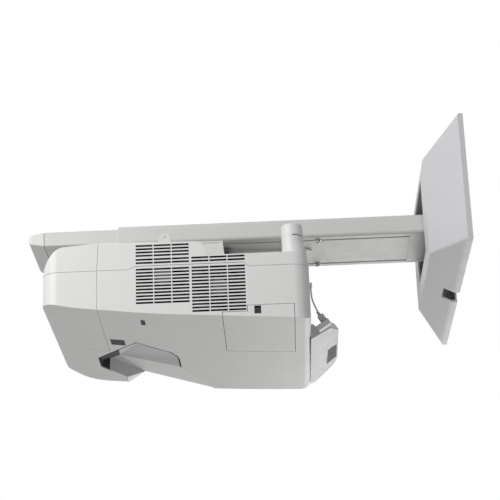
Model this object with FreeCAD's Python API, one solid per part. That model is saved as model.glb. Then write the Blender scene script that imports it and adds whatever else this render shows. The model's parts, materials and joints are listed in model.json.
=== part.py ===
import FreeCAD, Part
import math
import os

# Projector wall mount with the short-throw projector that it carries.
# Frame: millimetres, +Z up, the wall face is the plane x = 0 and the arm runs to -X along y = 0.
# The near side, with the fan grilles, faces -Y.

V = FreeCAD.Vector
X_AXIS = V(1, 0, 0)
Y_AXIS = V(0, 1, 0)
Z_AXIS = V(0, 0, 1)

# Clearances
SLIDE_GAP = 0.1
BODY_GAP = 0.3
PIN_GAP = 0.05

# Wall plate
PLATE_T = 3.0
PLATE_FLANGE_T = 2.5
BOLT_SPAN_Y = 406.4
BOLT_SPAN_Z = 120.0
BOLT_R = 4.5

# Wall plate cover: a hollow truncated pyramid with a short upright rim
COVER_HALF = 255.4
COVER_BOTTOM = -103.0
COVER_TOP = 107.9
COVER_RIM = 8.0
COVER_DEPTH = 56.5
FRONT_HALF = 133.8
FRONT_BOTTOM = -78.1
FRONT_TOP = 87.8
COVER_WALL = 2.5
COVER_EDGE_R = 5.0
ARM_HOLE_SIDE = 6.0
ARM_HOLE_BOTTOM = -50.0
ARM_HOLE_TOP = 75.0
NOTCH_Y0 = -15.5
NOTCH_Y1 = 28.5
NOTCH_DEPTH = 26.0
COVER_SCREW_Y = 150.0

# Arm: outer tube, inner extension and end cap
ARM_HALF = 70.0
ARM_TOP = 19.0
ARM_BOTTOM = -14.6
ARM_WALL = 3.4
ARM_TOP_R = 8.0
ARM_BOTTOM_R = 6.0
ARM_END = -559.0
EXT_GAP = 0.6
EXT_WALL = 2.5
EXT_END = -681.0
EXT_OVERLAP = 109.0
EXT_TRAVEL_IN = 40.0
EXT_TRAVEL_OUT = 60.0
CAP_LENGTH = 26.0
CAP_TIP_R = 6.0
SLOT_Y = 53.0
SLOT_W = 4.6
SLOT_X0 = -536.0
SLOT_X1 = -80.0

# Arm root bracket
ROOT_T = 5.0
CHEEK_T = 5.0
CHEEK_LENGTH = 46.0
ROOT_HALF = 105.0
ROOT_BOTTOM = -42.0
ROOT_TOP = 46.0
ROOT_BOLT_Y = 90.0
ROOT_BOLT_Z = 30.0
ARM_BOLT_XS = (-22.0, -40.0)

# Carriage that slides in the arm's slots
BAR_W = 12.0
BAR_T = 5.0
BAR_X0 = -488.0
BAR_X1 = -222.0
LOCK_X = -230.0
CARRIAGE_T = 3.0
CARRIAGE_X0 = -480.0
CARRIAGE_X1 = -388.0
CARRIAGE_HALF = 62.0
TONGUE_END = -240.0
TONGUE_HALF = 20.0
TONGUE_R = 9.0
HANGER_XS = (-472.0, -397.0)

# Three-axis adjuster
GIMBAL_X = -420.0
GIMBAL_Z = -32.0
SWIVEL_T = 3.0
SWIVEL_HALF_X = 46.0
SWIVEL_HALF_Y = 40.0
EAR_T = 4.0
EAR_DROP = 18.0
RING_HALF = 38.0
RING_WALL = 7.0
RING_H = 12.0
PIVOT_R = 4.0
SWIVEL_PIN_R = 6.0
ARC_R = 24.0
ARC_DEG = 12.0
SWIVEL_LOCK_R = 2.5

# Projector bracket
ADAPTER_TOP = -45.0
ADAPTER_T = 3.0
ADAPTER_X0 = -500.0
ADAPTER_X1 = -385.0
ADAPTER_HALF = 122.0
FLANGE_TOP = -36.0
FLANGE_FOOT_X1 = -380.5
LIP_W = 20.0
LIP_TOP = -51.5
ADAPTER_EAR_IN = 42.0
ADAPTER_EAR_HALF = 14.0
ADAPTER_SCREW_XS = (-486.0, -436.0)
EYE_X = -478.0
EYE_Z = -27.0
EYE_R = 8.0
EYE_HOLE_R = 2.6
RELIEF_DEPTH = 1.2

# Projector casing
CASE_X0 = -669.6
CASE_X1 = -249.6
CASE_HALF = 175.0
CASE_WALL = 2.5
PLAN_TRIM = 0.02
CORNER_LEFT_R = 26.0
CORNER_RIGHT_R = 24.0
DECK_Z = -57.0
ROOF_Z = -80.5
ROOF_CORNER_R = 18.0
STEP_X0 = -421.0
STEP_X1 = -408.5
SPLIT_Z = -100.0
SPLIT_JOG_Z = -95.0
SPLIT_RIGHT_Z = -102.0
JOG_X0 = -532.0
JOG_X1 = -522.0
JOG_X2 = -351.0
JOG_X3 = -345.0
END_SEAM_X = -582.0
END_SEAM_TOP_X = -578.0
END_SEAM_Y = 17.0
GROOVE_W = 0.9
GROOVE_DEPTH = 1.2

# Grilles: three columns of slots in each of four fields
GRILLE_SLOT_L = 26.8
GRILLE_COLUMN_PITCH = 28.4
GRILLE_ROW_PITCH = 5.56
GRILLE_SLOT_H = 3.2
GRILLE_LEFT_X = -520.6
GRILLE_RIGHT_X = -433.2
UPPER_ROWS_TOP = -61.0
UPPER_ROWS_GAP = 1.0
LOWER_ROWS_TOP = -100.8

# Axial fans behind the grilles
FAN_SIZE = 78.0
FAN_DEPTH = 25.0
FAN_BORE_R = 37.0
FAN_HUB_R = 15.0
FAN_TIP_R = 35.8
FAN_BLADES = 7
FAN_SHAFT_R = 1.5
FAN_SEAT_GAP = 0.1
FAN_CENTRES = ((-478.5, -111.0), (-391.5, -132.0))

# Lamp door on the lower near edge
DOOR_X0 = -386.5
DOOR_X1 = -275.5
DOOR_NOTCH_X = -347.5
DOOR_TOP_Z = -167.3
DOOR_SHOULDER_Z = -177.0
DOOR_Y1 = -17.0
DOOR_GAP = 0.8
LATCH_X0 = -337.0
LATCH_X1 = -327.0
LATCH_Z0 = -181.0
LATCH_Z1 = -171.5
LATCH_TRAVEL = 3.0

# Adjustable feet on the roof
FOOT_X = -273.5
FOOT_INSET = 23.0
FOOT_Y = CASE_HALF - FOOT_INSET
FOOT_R = 17.1
FOOT_TOP = -29.0
FOOT_SEAM_Z = -49.5
FOOT_SEAM_GAP = 2.2
FOOT_STEM_R = 7.0
FOOT_FLARE = 5.0
FOOT_FLUTE_R = 4.0

# Sensor module on the wall-side end
MODULE_ANGLE = 33.0
MODULE_Z = -192.0
MODULE_T = 13.0
MODULE_OUTLINE = ((0.0, -70.0), (38.0, -62.0), (57.0, -20.0), (58.5, 128.0), (46.0, 150.0), (12.0, 178.0), (0.0, 174.0))
MODULE_WALL = 2.0

# Jumper lead from the casing's end face to the module
LEAD_R = 1.4


def box(x0, x1, y0, y1, z0, z1):
    return Part.makeBox(x1 - x0, y1 - y0, z1 - z0, V(x0, y0, z0))


def rod(start, direction, length, radius):
    return Part.makeCylinder(radius, length, start, direction)


def polygon_face(points):
    corners = [V(*p) for p in points]
    return Part.Face(Part.makePolygon(corners + [corners[0]]))


def prism(points, sweep):
    return polygon_face(points).extrude(sweep)


def fuse_all(shapes):
    result = shapes[0]
    if len(shapes) > 1:
        result = shapes[0].multiFuse(shapes[1:])
    return result.removeSplitter()


def cut_all(shape, tools):
    return shape.cut(Part.makeCompound(tools))


def save(name, shape):
    solids = shape.Solids
    result = solids[0] if len(solids) == 1 else Part.makeCompound(solids)
    result.exportStep("parts/" + name + ".step")
    print(name, len(solids), "valid" if result.isValid() else "NOT VALID", round(result.Volume, 1))


def section_yz(x, half, z0, z1, r_bottom, r_top):
    """A face in the plane x: a rectangle with its bottom and top corners rounded."""
    s = math.sqrt(0.5)
    corners = ((half, z0, r_bottom, 1, -1), (half, z1, r_top, 1, 1),
               (-half, z1, r_top, -1, 1), (-half, z0, r_bottom, -1, -1))
    ends = []
    for y, z, r, sy, sz in corners:
        cy = y - sy * r
        cz = z - sz * r
        on_side = V(x, y, cz)
        on_level = V(x, cy, z)
        middle = V(x, cy + sy * r * s, cz + sz * r * s)
        first, last = (on_level, on_side) if sy * sz < 0 else (on_side, on_level)
        ends.append((first, middle, last))
    edges = []
    for i, (first, middle, last) in enumerate(ends):
        edges.append(Part.Arc(first, middle, last).toShape())
        edges.append(Part.LineSegment(last, ends[(i + 1) % 4][0]).toShape())
    return Part.Face(Part.Wire(edges))


def tube_solid(x0, x1, half, z0, z1, r_bottom, r_top):
    return section_yz(x0, half, z0, z1, r_bottom, r_top).extrude(V(x1 - x0, 0, 0))


def hex_head(centre, direction, across, height):
    """A hexagon bolt head standing on the point centre."""
    head = Part.makeCylinder(across / math.sqrt(3), height)
    flats = []
    for k in range(6):
        a = math.radians(60 * k)
        flats.append(V(math.cos(a) * across / math.sqrt(3), math.sin(a) * across / math.sqrt(3), 0))
    hexagon = Part.Face(Part.makePolygon(flats + [flats[0]])).extrude(V(0, 0, height))
    head = hexagon.common(Part.makeCone(across / 2 + height * 1.6, across / 2, height))
    head.Placement = FreeCAD.Placement(centre, FreeCAD.Rotation(Z_AXIS, direction))
    return head


def pan_head(centre, direction, radius, height):
    """A round screw head with a socket, standing on the point centre."""
    head = Part.makeCylinder(radius, height)
    head = head.makeFillet(height * 0.4, [e for e in head.Edges if abs(e.CenterOfMass.z - height) < 1e-6
                                          and e.Closed])
    flats = []
    for k in range(6):
        a = math.radians(60 * k)
        flats.append(V(math.cos(a) * radius * 0.5, math.sin(a) * radius * 0.5, height * 0.45))
    socket = Part.Face(Part.makePolygon(flats + [flats[0]])).extrude(V(0, 0, height))
    head = head.cut(socket)
    head.Placement = FreeCAD.Placement(centre, FreeCAD.Rotation(Z_AXIS, direction))
    return head


def screw(centre, direction, head_r, head_h, shank_r, shank_l):
    """Head on the side that direction points to, shank the other way."""
    shank = rod(centre, direction * -1, shank_l, shank_r)
    return pan_head(centre, direction, head_r, head_h).fuse(shank)


def bolt(centre, direction, across, head_h, shank_r, shank_l):
    shank = rod(centre, direction * -1, shank_l, shank_r)
    return hex_head(centre, direction, across, head_h).fuse(shank)


# Wall plate, its cover and the arm's root bracket
PLATE_TOP = COVER_TOP - COVER_WALL - BODY_GAP
PLATE_BOTTOM = COVER_BOTTOM + COVER_WALL + BODY_GAP
PLATE_HALF = COVER_HALF - COVER_WALL - 18.0
PLATE_MID_Z = 0.0


def make_wall_plate():
    plate = box(-PLATE_T, 0, -PLATE_HALF, PLATE_HALF, PLATE_BOTTOM, PLATE_TOP)
    top = box(-COVER_RIM, 0, -PLATE_HALF, PLATE_HALF, PLATE_TOP - PLATE_FLANGE_T, PLATE_TOP)
    bottom = box(-COVER_RIM, 0, -PLATE_HALF, PLATE_HALF, PLATE_BOTTOM, PLATE_BOTTOM + PLATE_FLANGE_T)
    plate = fuse_all([plate, top, bottom])
    tools = []
    for sy in (-1, 1):
        for sz in (-1, 1):
            centre = V(-2 * PLATE_T, sy * BOLT_SPAN_Y / 2, PLATE_MID_Z + sz * BOLT_SPAN_Z / 2)
            tools.append(rod(centre, X_AXIS, 3 * PLATE_T, BOLT_R))
            tools.append(rod(V(-2 * COVER_RIM, sy * ROOT_BOLT_Y, sz * ROOT_BOLT_Z), X_AXIS,
                             3 * COVER_RIM, ROOT_BOLT_R))
        tools.append(rod(V(-COVER_RIM / 2, sy * COVER_SCREW_Y, PLATE_TOP + 1), Z_AXIS * -1, 6, COVER_SCREW_R))
    tools.append(box(-2 * COVER_RIM, 1, NOTCH_Y0 - 4, NOTCH_Y1 + 4, PLATE_BOTTOM - 1, PLATE_BOTTOM + 16))
    return cut_all(plate, tools)


ROOT_BOLT_R = 4.0
COVER_SCREW_R = 1.5


def cover_form(inset):
    """The cover's outer form, or its hollow when inset is the wall."""
    base = [(-COVER_RIM, -COVER_HALF + inset, COVER_BOTTOM + inset),
            (-COVER_RIM, COVER_HALF - inset, COVER_BOTTOM + inset),
            (-COVER_RIM, COVER_HALF - inset, COVER_TOP - inset),
            (-COVER_RIM, -COVER_HALF + inset, COVER_TOP - inset)]
    x = -COVER_DEPTH + inset
    front = [(x, -FRONT_HALF + inset, FRONT_BOTTOM + inset), (x, FRONT_HALF - inset, FRONT_BOTTOM + inset),
             (x, FRONT_HALF - inset, FRONT_TOP - inset), (x, -FRONT_HALF + inset, FRONT_TOP - inset)]
    wires = [Part.makePolygon([V(*p) for p in ring + ring[:1]]) for ring in (base, front)]
    pyramid = Part.makeLoft(wires, True, True)
    rim = polygon_face(base).extrude(V(COVER_RIM, 0, 0))
    form = pyramid.fuse(rim).removeSplitter()
    soft = [e for e in form.Edges if e.BoundBox.XMin < -COVER_RIM - 1]
    return form.makeFillet(COVER_EDGE_R - inset, soft)


def make_cover():
    hollow = cover_form(COVER_WALL)
    mouth = box(-COVER_RIM / 2, 1, -COVER_HALF + COVER_WALL, COVER_HALF - COVER_WALL,
                COVER_BOTTOM + COVER_WALL, COVER_TOP - COVER_WALL)
    arm_hole = box(-2 * COVER_DEPTH, -COVER_DEPTH + 3 * COVER_WALL, -ARM_HALF - ARM_HOLE_SIDE,
                   ARM_HALF + ARM_HOLE_SIDE, ARM_HOLE_BOTTOM, ARM_HOLE_TOP)
    notch = box(-NOTCH_DEPTH, 1, NOTCH_Y0, NOTCH_Y1, COVER_BOTTOM - 1, COVER_BOTTOM + 20)
    holes = [rod(V(-COVER_RIM / 2, s * COVER_SCREW_Y, COVER_TOP + 1), Z_AXIS * -1, 6, COVER_SCREW_R)
             for s in (-1, 1)]
    return cut_all(cover_form(0.0), [hollow, mouth, arm_hole, notch] + holes)


def make_cover_screws():
    screws = [screw(V(-COVER_RIM / 2, s * COVER_SCREW_Y, COVER_TOP), Z_AXIS, 3.2, 2.0, COVER_SCREW_R, 5.0)
              for s in (-1, 1)]
    return Part.makeCompound(screws)


def make_root_bracket():
    x0 = -PLATE_T - ROOT_T
    base = box(x0, -PLATE_T, -ROOT_HALF, ROOT_HALF, ROOT_BOTTOM, ROOT_TOP)
    inner = ARM_HALF + BODY_GAP
    cheeks = []
    for s in (-1, 1):
        y = inner if s > 0 else -inner - CHEEK_T
        outline = [(x0, y, ROOT_BOTTOM), (x0, y, ROOT_TOP), (x0 - CHEEK_LENGTH * 0.3, y, ROOT_TOP),
                   (x0 - CHEEK_LENGTH, y, ARM_TOP), (x0 - CHEEK_LENGTH, y, ARM_BOTTOM),
                   (x0 - CHEEK_LENGTH * 0.3, y, ROOT_BOTTOM)]
        cheeks.append(prism(outline, V(0, CHEEK_T, 0)))
    bracket = fuse_all([base] + cheeks)
    tools = [rod(V(x0 - 1, sy * ROOT_BOLT_Y, sz * ROOT_BOLT_Z), X_AXIS, ROOT_T + 2, ROOT_BOLT_R)
             for sy in (-1, 1) for sz in (-1, 1)]
    for x in ARM_BOLT_XS:
        tools.append(rod(V(x, -ARM_HALF - 20, ARM_MID_Z), Y_AXIS, 2 * ARM_HALF + 40, ROOT_BOLT_R))
    return cut_all(bracket, tools)


ARM_MID_Z = (ARM_TOP + ARM_BOTTOM) / 2
ARM_ROOT_X = -PLATE_T - ROOT_T


def make_root_bolts():
    return Part.makeCompound([bolt(V(ARM_ROOT_X, sy * ROOT_BOLT_Y, sz * ROOT_BOLT_Z), X_AXIS * -1,
                                   13.0, 5.3, ROOT_BOLT_R, ROOT_T + PLATE_T)
                              for sy in (-1, 1) for sz in (-1, 1)])


def make_arm_bolts():
    face = ARM_HALF + BODY_GAP + CHEEK_T
    return Part.makeCompound([bolt(V(x, s * face, ARM_MID_Z), Y_AXIS * s, 13.0, 5.3, ROOT_BOLT_R,
                                   CHEEK_T + BODY_GAP + ARM_WALL + 6)
                              for s in (-1, 1) for x in ARM_BOLT_XS])


# Arm tube, extension and end cap
EXT_HALF = ARM_HALF - ARM_WALL - EXT_GAP
EXT_TOP = ARM_TOP - ARM_WALL - EXT_GAP
EXT_BOTTOM = ARM_BOTTOM + ARM_WALL + EXT_GAP
EXT_TOP_R = ARM_TOP_R - ARM_WALL - EXT_GAP
EXT_BOTTOM_R = ARM_BOTTOM_R - ARM_WALL - EXT_GAP
ARM_FLOOR = ARM_BOTTOM + ARM_WALL


def make_arm_tube():
    outer = tube_solid(ARM_END, ARM_ROOT_X, ARM_HALF, ARM_BOTTOM, ARM_TOP, ARM_BOTTOM_R, ARM_TOP_R)
    inner = tube_solid(ARM_END - 1, ARM_ROOT_X + 1, ARM_HALF - ARM_WALL, ARM_FLOOR, ARM_TOP - ARM_WALL,
                       ARM_BOTTOM_R - ARM_WALL, ARM_TOP_R - ARM_WALL)
    tools = [inner]
    for s in (-1, 1):
        y = s * SLOT_Y
        tools.append(box(SLOT_X0, SLOT_X1, y - SLOT_W / 2, y + SLOT_W / 2, ARM_BOTTOM - 1, ARM_FLOOR + 1))
        for x in (SLOT_X0, SLOT_X1):
            tools.append(rod(V(x, y, ARM_BOTTOM - 1), Z_AXIS, ARM_WALL + 2, SLOT_W / 2))
        for x in ARM_BOLT_XS:
            start = V(x, s * (ARM_HALF - ARM_WALL - 1), ARM_MID_Z)
            tools.append(rod(start, Y_AXIS * s, ARM_WALL + 3, ROOT_BOLT_R))
    return cut_all(outer, tools)


def make_extension():
    x1 = ARM_END + EXT_OVERLAP
    outer = tube_solid(EXT_END, x1, EXT_HALF, EXT_BOTTOM, EXT_TOP, EXT_BOTTOM_R, EXT_TOP_R)
    floor = EXT_BOTTOM + EXT_WALL
    inner = tube_solid(EXT_END - 1, x1 + 1, EXT_HALF - EXT_WALL, floor, EXT_TOP - EXT_WALL,
                       0.6, EXT_TOP_R - EXT_WALL)
    open_floor = box(ARM_END + 4, x1 + 1, -EXT_HALF + EXT_WALL, EXT_HALF - EXT_WALL, EXT_BOTTOM - 1, floor + 1)
    return cut_all(outer, [inner, open_floor])


def make_end_cap():
    tip = EXT_END - CAP_LENGTH
    cap = tube_solid(tip, EXT_END, EXT_HALF, EXT_BOTTOM, EXT_TOP, EXT_BOTTOM_R, EXT_TOP_R)
    rim = [e for e in cap.Edges if e.BoundBox.XMax < tip + 0.01]
    cap = cap.makeFillet(CAP_TIP_R, rim)
    spigot = tube_solid(EXT_END, EXT_END + 14, EXT_HALF - EXT_WALL - SLIDE_GAP, EXT_BOTTOM + EXT_WALL + SLIDE_GAP,
                        EXT_TOP - EXT_WALL - SLIDE_GAP, 0.5, EXT_TOP_R - EXT_WALL)
    hollow = tube_solid(tip + 3, EXT_END + 15, EXT_HALF - EXT_WALL - 2.5, EXT_BOTTOM + EXT_WALL + 2.5,
                        EXT_TOP - EXT_WALL - 2.5, 0.5, 1.0)
    return cap.fuse(spigot).removeSplitter().cut(hollow)


# Carriage: two bars inside the arm, the plate under it, and their screws
BAR_Z0 = ARM_FLOOR + SLIDE_GAP
CARRIAGE_TOP = ARM_BOTTOM - SLIDE_GAP
CARRIAGE_BOTTOM = CARRIAGE_TOP - CARRIAGE_T
LOCK_R = 2.0


def make_clamp_bars():
    bars = []
    for s in (-1, 1):
        bar = box(BAR_X0, BAR_X1, s * SLOT_Y - BAR_W / 2, s * SLOT_Y + BAR_W / 2, BAR_Z0, BAR_Z0 + BAR_T)
        holes = [rod(V(x, s * SLOT_Y, BAR_Z0 - 1), Z_AXIS, BAR_T + 2, LOCK_R) for x in HANGER_XS + (LOCK_X,)]
        bars.append(cut_all(bar, holes))
    return Part.makeCompound(bars)


def make_lock_washers():
    washers = []
    for s in (-1, 1):
        ring = rod(V(LOCK_X, s * SLOT_Y, CARRIAGE_TOP), Z_AXIS * -1, 1.0, 5.5)
        washers.append(ring.cut(rod(V(LOCK_X, s * SLOT_Y, CARRIAGE_TOP + 1), Z_AXIS * -1, 3, LOCK_R)))
    return Part.makeCompound(washers)


def make_lock_screws():
    z = CARRIAGE_TOP - 1.0
    reach = BAR_Z0 + BAR_T - z
    return Part.makeCompound([screw(V(LOCK_X, s * SLOT_Y, z), Z_AXIS * -1, 3.9, 4.0, LOCK_R, reach)
                              for s in (-1, 1)])


def make_slide_plate():
    main = box(CARRIAGE_X0, CARRIAGE_X1, -CARRIAGE_HALF, CARRIAGE_HALF, CARRIAGE_BOTTOM, CARRIAGE_TOP)
    tongue = box(CARRIAGE_X1 - 1, TONGUE_END, -TONGUE_HALF, TONGUE_HALF, CARRIAGE_BOTTOM, CARRIAGE_TOP)
    tongue = tongue.makeFillet(TONGUE_R, [e for e in tongue.Edges if e.BoundBox.XMin > TONGUE_END - 0.01
                                          and e.BoundBox.ZLength > CARRIAGE_T / 2])
    plate = fuse_all([main, tongue])
    upright = [e for e in plate.Edges if e.BoundBox.ZLength > CARRIAGE_T / 2
               and abs(abs(e.CenterOfMass.y) - CARRIAGE_HALF) < 0.01]
    plate = plate.makeFillet(6.0, upright)
    tools = [rod(V(x, s * SLOT_Y, CARRIAGE_BOTTOM - 1), Z_AXIS, CARRIAGE_T + 2, LOCK_R)
             for s in (-1, 1) for x in HANGER_XS]
    tools.append(rod(V(GIMBAL_X, 0, CARRIAGE_BOTTOM - 1), Z_AXIS, CARRIAGE_T + 2, SWIVEL_PIN_R))
    for s in (-1, 1):
        tools.append(rod(V(GIMBAL_X, s * ARC_R, CARRIAGE_BOTTOM - 1), Z_AXIS, CARRIAGE_T + 2, SWIVEL_LOCK_R))
    return cut_all(plate, tools)


def make_hanger_screws():
    reach = BAR_Z0 + BAR_T - CARRIAGE_BOTTOM
    return Part.makeCompound([screw(V(x, s * SLOT_Y, CARRIAGE_BOTTOM), Z_AXIS * -1, 3.8, 2.6, LOCK_R, reach)
                              for s in (-1, 1) for x in HANGER_XS])


SWIVEL_TOP = CARRIAGE_BOTTOM - SLIDE_GAP
SWIVEL_BOTTOM = SWIVEL_TOP - SWIVEL_T


def make_swivel_pin():
    shank = rod(V(GIMBAL_X, 0, CARRIAGE_TOP), Z_AXIS * -1, CARRIAGE_TOP - SWIVEL_BOTTOM + SLIDE_GAP,
                SWIVEL_PIN_R)
    head = rod(V(GIMBAL_X, 0, SWIVEL_BOTTOM - SLIDE_GAP), Z_AXIS * -1, 2.5, SWIVEL_PIN_R + 4)
    return shank.fuse(head).removeSplitter()


def make_swivel_locks():
    z = SWIVEL_BOTTOM - SLIDE_GAP
    return Part.makeCompound([screw(V(GIMBAL_X, s * ARC_R, z), Z_AXIS * -1, 4.8, 2.5, SWIVEL_LOCK_R,
                                    CARRIAGE_TOP - z) for s in (-1, 1)])


def arc_slot(side):
    """A slot round the swivel pin for one lock screw."""
    width = SWIVEL_LOCK_R + BODY_GAP
    ring = rod(V(GIMBAL_X, 0, SWIVEL_BOTTOM - 1), Z_AXIS, SWIVEL_T + 2, ARC_R + width)
    ring = ring.cut(rod(V(GIMBAL_X, 0, SWIVEL_BOTTOM - 1), Z_AXIS, SWIVEL_T + 2, ARC_R - width))
    reach = 2 * ARC_R
    spread = math.tan(math.radians(ARC_DEG)) * reach
    wedge = prism([(GIMBAL_X, 0, SWIVEL_BOTTOM - 1), (GIMBAL_X - spread, side * reach, SWIVEL_BOTTOM - 1),
                   (GIMBAL_X + spread, side * reach, SWIVEL_BOTTOM - 1)], V(0, 0, SWIVEL_T + 2))
    return ring.common(wedge)


def make_swivel_bracket():
    plate = box(GIMBAL_X - SWIVEL_HALF_X, GIMBAL_X + SWIVEL_HALF_X, -SWIVEL_HALF_Y, SWIVEL_HALF_Y,
                SWIVEL_BOTTOM, SWIVEL_TOP)
    parts = [plate]
    for s in (-1, 1):
        x = GIMBAL_X + s * SWIVEL_HALF_X
        x0, x1 = (x - EAR_T, x) if s > 0 else (x, x + EAR_T)
        bottom = SWIVEL_BOTTOM - EAR_DROP
        outline = [(x0, -SWIVEL_HALF_Y, SWIVEL_BOTTOM), (x0, SWIVEL_HALF_Y, SWIVEL_BOTTOM),
                   (x0, SWIVEL_HALF_Y * 0.6, bottom), (x0, -SWIVEL_HALF_Y * 0.6, bottom)]
        parts.append(prism(outline, V(x1 - x0, 0, 0)))
    tools = [rod(V(GIMBAL_X - 2 * SWIVEL_HALF_X, 0, GIMBAL_Z), X_AXIS, 4 * SWIVEL_HALF_X, PIVOT_R + PIN_GAP),
             rod(V(GIMBAL_X, 0, SWIVEL_BOTTOM - 1), Z_AXIS, SWIVEL_T + 2, SWIVEL_PIN_R + PIN_GAP),
             arc_slot(-1), arc_slot(1)]
    return cut_all(fuse_all(parts), tools)


def make_tilt_ring():
    z0 = GIMBAL_Z - RING_H / 2
    z1 = GIMBAL_Z + RING_H / 2
    inner = RING_HALF - RING_WALL
    ring = box(GIMBAL_X - RING_HALF, GIMBAL_X + RING_HALF, -RING_HALF, RING_HALF, z0, z1)
    ring = ring.makeFillet(RING_WALL, [e for e in ring.Edges if e.BoundBox.ZLength > RING_H / 2])
    tools = [box(GIMBAL_X - inner, GIMBAL_X + inner, -inner, inner, z0 - 1, z1 + 1),
             rod(V(GIMBAL_X - 2 * RING_HALF, 0, GIMBAL_Z), X_AXIS, 4 * RING_HALF, PIVOT_R),
             rod(V(GIMBAL_X, -2 * RING_HALF, GIMBAL_Z), Y_AXIS, 4 * RING_HALF, PIVOT_R)]
    return cut_all(ring, tools)


def make_roll_bolts():
    face = SWIVEL_HALF_X + SLIDE_GAP
    reach = face - RING_HALF + RING_WALL
    return Part.makeCompound([bolt(V(GIMBAL_X + s * face, 0, GIMBAL_Z), X_AXIS * s, 10.0, 4.0, PIVOT_R, reach)
                              for s in (-1, 1)])


def make_pitch_bolts():
    face = ADAPTER_EAR_IN + EAR_T + SLIDE_GAP
    reach = face - RING_HALF + RING_WALL
    return Part.makeCompound([bolt(V(GIMBAL_X, s * face, GIMBAL_Z), Y_AXIS * s, 10.0, 4.0, PIVOT_R, reach)
                              for s in (-1, 1)])


# Projector casing forms
CASE_LEFT_TOP = -97.0
CASE_LEFT_BOTTOM = -149.0
CASE_OVERRUN = 2.0


def top_points(inset):
    """Corners of the roof line from the left end to the right end."""
    z = -inset
    steep = inset * 0.85
    return [(CASE_X0 + inset, CASE_LEFT_TOP), (-634.0 + inset, -57.6 + z), (-577.0, -53.0 + z),
            (STEP_X0 - steep, DECK_Z + z), (STEP_X1 - steep, ROOF_Z + z),
            (CASE_X1 - ROOF_CORNER_R, ROOF_Z + z), (CASE_X1 - inset, ROOF_Z - ROOF_CORNER_R)]


NEAR_UNDERSIDE = ((-639.0, -155.6), (-577.0, -164.9), (-499.0, -173.9), (-422.0, -179.8), (-344.0, -185.2))
FAR_UNDERSIDE = ((-639.0, -161.0), (-567.0, -173.3), (-499.0, -183.0), (-421.0, -191.6), (-344.0, -196.3))
NEAR_END = (-262.0, -190.0, -183.0)
FAR_END = (-262.0, -199.6, -191.0)
CASE_SIDE_R = 8.0


def case_profile(y, inset, bottom, end):
    """The casing's outline in the plane y, as a wire of lines, two splines and arcs."""
    top = [V(x, y, z) for x, z in top_points(inset)]
    corner_x, corner_z, side_z = end
    past_left = CASE_X0 + inset - CASE_OVERRUN
    left_low = V(past_left, y, CASE_LEFT_BOTTOM + inset + 0.3)
    left_high = V(past_left, y, CASE_LEFT_TOP - 10.0)
    low_end = V(corner_x - inset, y, corner_z + inset)
    low_side = V(CASE_X1 - inset, y, side_z + inset)
    swell = Part.BSplineCurve()
    swell.interpolate([left_high, top[0], V(-664.0 + inset, y, -83.5 - inset), V(-655.0 + inset, y, -70.0 - inset),
                       V(-645.5 + inset, y, -61.6 - inset), top[1]])
    under = Part.BSplineCurve()
    under.interpolate([low_end] + [V(x, y, z + inset) for x, z in reversed(bottom)]
                      + [V(CASE_X0 + inset, y, CASE_LEFT_BOTTOM + inset), left_low])
    s = math.sqrt(0.5)
    r = ROOF_CORNER_R
    roof_mid = V(CASE_X1 - r + (r - inset) * s, y, ROOF_Z - r + (r - inset) * s)
    low_mid = V(CASE_X1 - inset - (CASE_X1 - corner_x) * 0.26, y, corner_z + inset + (side_z - corner_z) * 0.34)
    edges = [swell.toShape()]
    for i in range(1, 5):
        edges.append(Part.LineSegment(top[i], top[i + 1]).toShape())
    edges.append(Part.Arc(top[5], roof_mid, top[6]).toShape())
    edges.append(Part.LineSegment(top[6], low_side).toShape())
    edges.append(Part.Arc(low_side, low_mid, low_end).toShape())
    edges.append(under.toShape())
    edges.append(Part.LineSegment(left_low, left_high).toShape())
    return Part.Wire(edges)


def plan_prism(inset, z0, z1):
    """The casing's plan outline, with rounded upright corners, as a tall prism."""
    block = box(CASE_X0 + inset, CASE_X1 - inset, -CASE_HALF + inset, CASE_HALF - inset, z0, z1)
    left = [e for e in block.Edges if e.BoundBox.ZLength > 1 and e.BoundBox.XMax < CASE_X0 + inset + 1]
    right = [e for e in block.Edges if e.BoundBox.ZLength > 1 and e.BoundBox.XMin > CASE_X1 - inset - 1]
    block = block.makeFillet(CORNER_LEFT_R - inset, left)
    right = [e for e in block.Edges if e.BoundBox.ZLength > (z1 - z0) / 2
             and e.BoundBox.XMin > CASE_X1 - inset - 0.01 and e.BoundBox.XLength < 0.01]
    return block.makeFillet(CORNER_RIGHT_R - inset, right)


def case_form(inset):
    wires = [case_profile(-CASE_HALF, inset, NEAR_UNDERSIDE, NEAR_END),
             case_profile(CASE_HALF, inset, FAR_UNDERSIDE, FAR_END)]
    body = Part.makeLoft(wires, True, True)
    return body.common(plan_prism(inset + PLAN_TRIM, -230.0, -20.0))


def split_prism(above):
    """The half of space above or below the case split, which steps up between the grilles."""
    far = -20.0 if above else -240.0
    line = [(CASE_X0 - 5, SPLIT_Z), (JOG_X0, SPLIT_Z), (JOG_X1, SPLIT_JOG_Z), (JOG_X2, SPLIT_JOG_Z),
            (JOG_X3, SPLIT_RIGHT_Z), (CASE_X1 + 5, SPLIT_RIGHT_Z)]
    outline = [(x, -CASE_HALF - 5, z) for x, z in line]
    outline += [(CASE_X1 + 5, -CASE_HALF - 5, far), (CASE_X0 - 5, -CASE_HALF - 5, far)]
    return prism(outline, V(0, 2 * CASE_HALF + 10, 0))


def end_prism():
    """Everything left of the seam round the left end."""
    outline = [(END_SEAM_TOP_X, -CASE_HALF - 5, -20), (END_SEAM_X, -CASE_HALF - 5, SPLIT_Z),
               (END_SEAM_X, -CASE_HALF - 5, -240), (CASE_X0 - 20, -CASE_HALF - 5, -240),
               (CASE_X0 - 20, -CASE_HALF - 5, -20)]
    return prism(outline, V(0, 2 * CASE_HALF + 10, 0))


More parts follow.
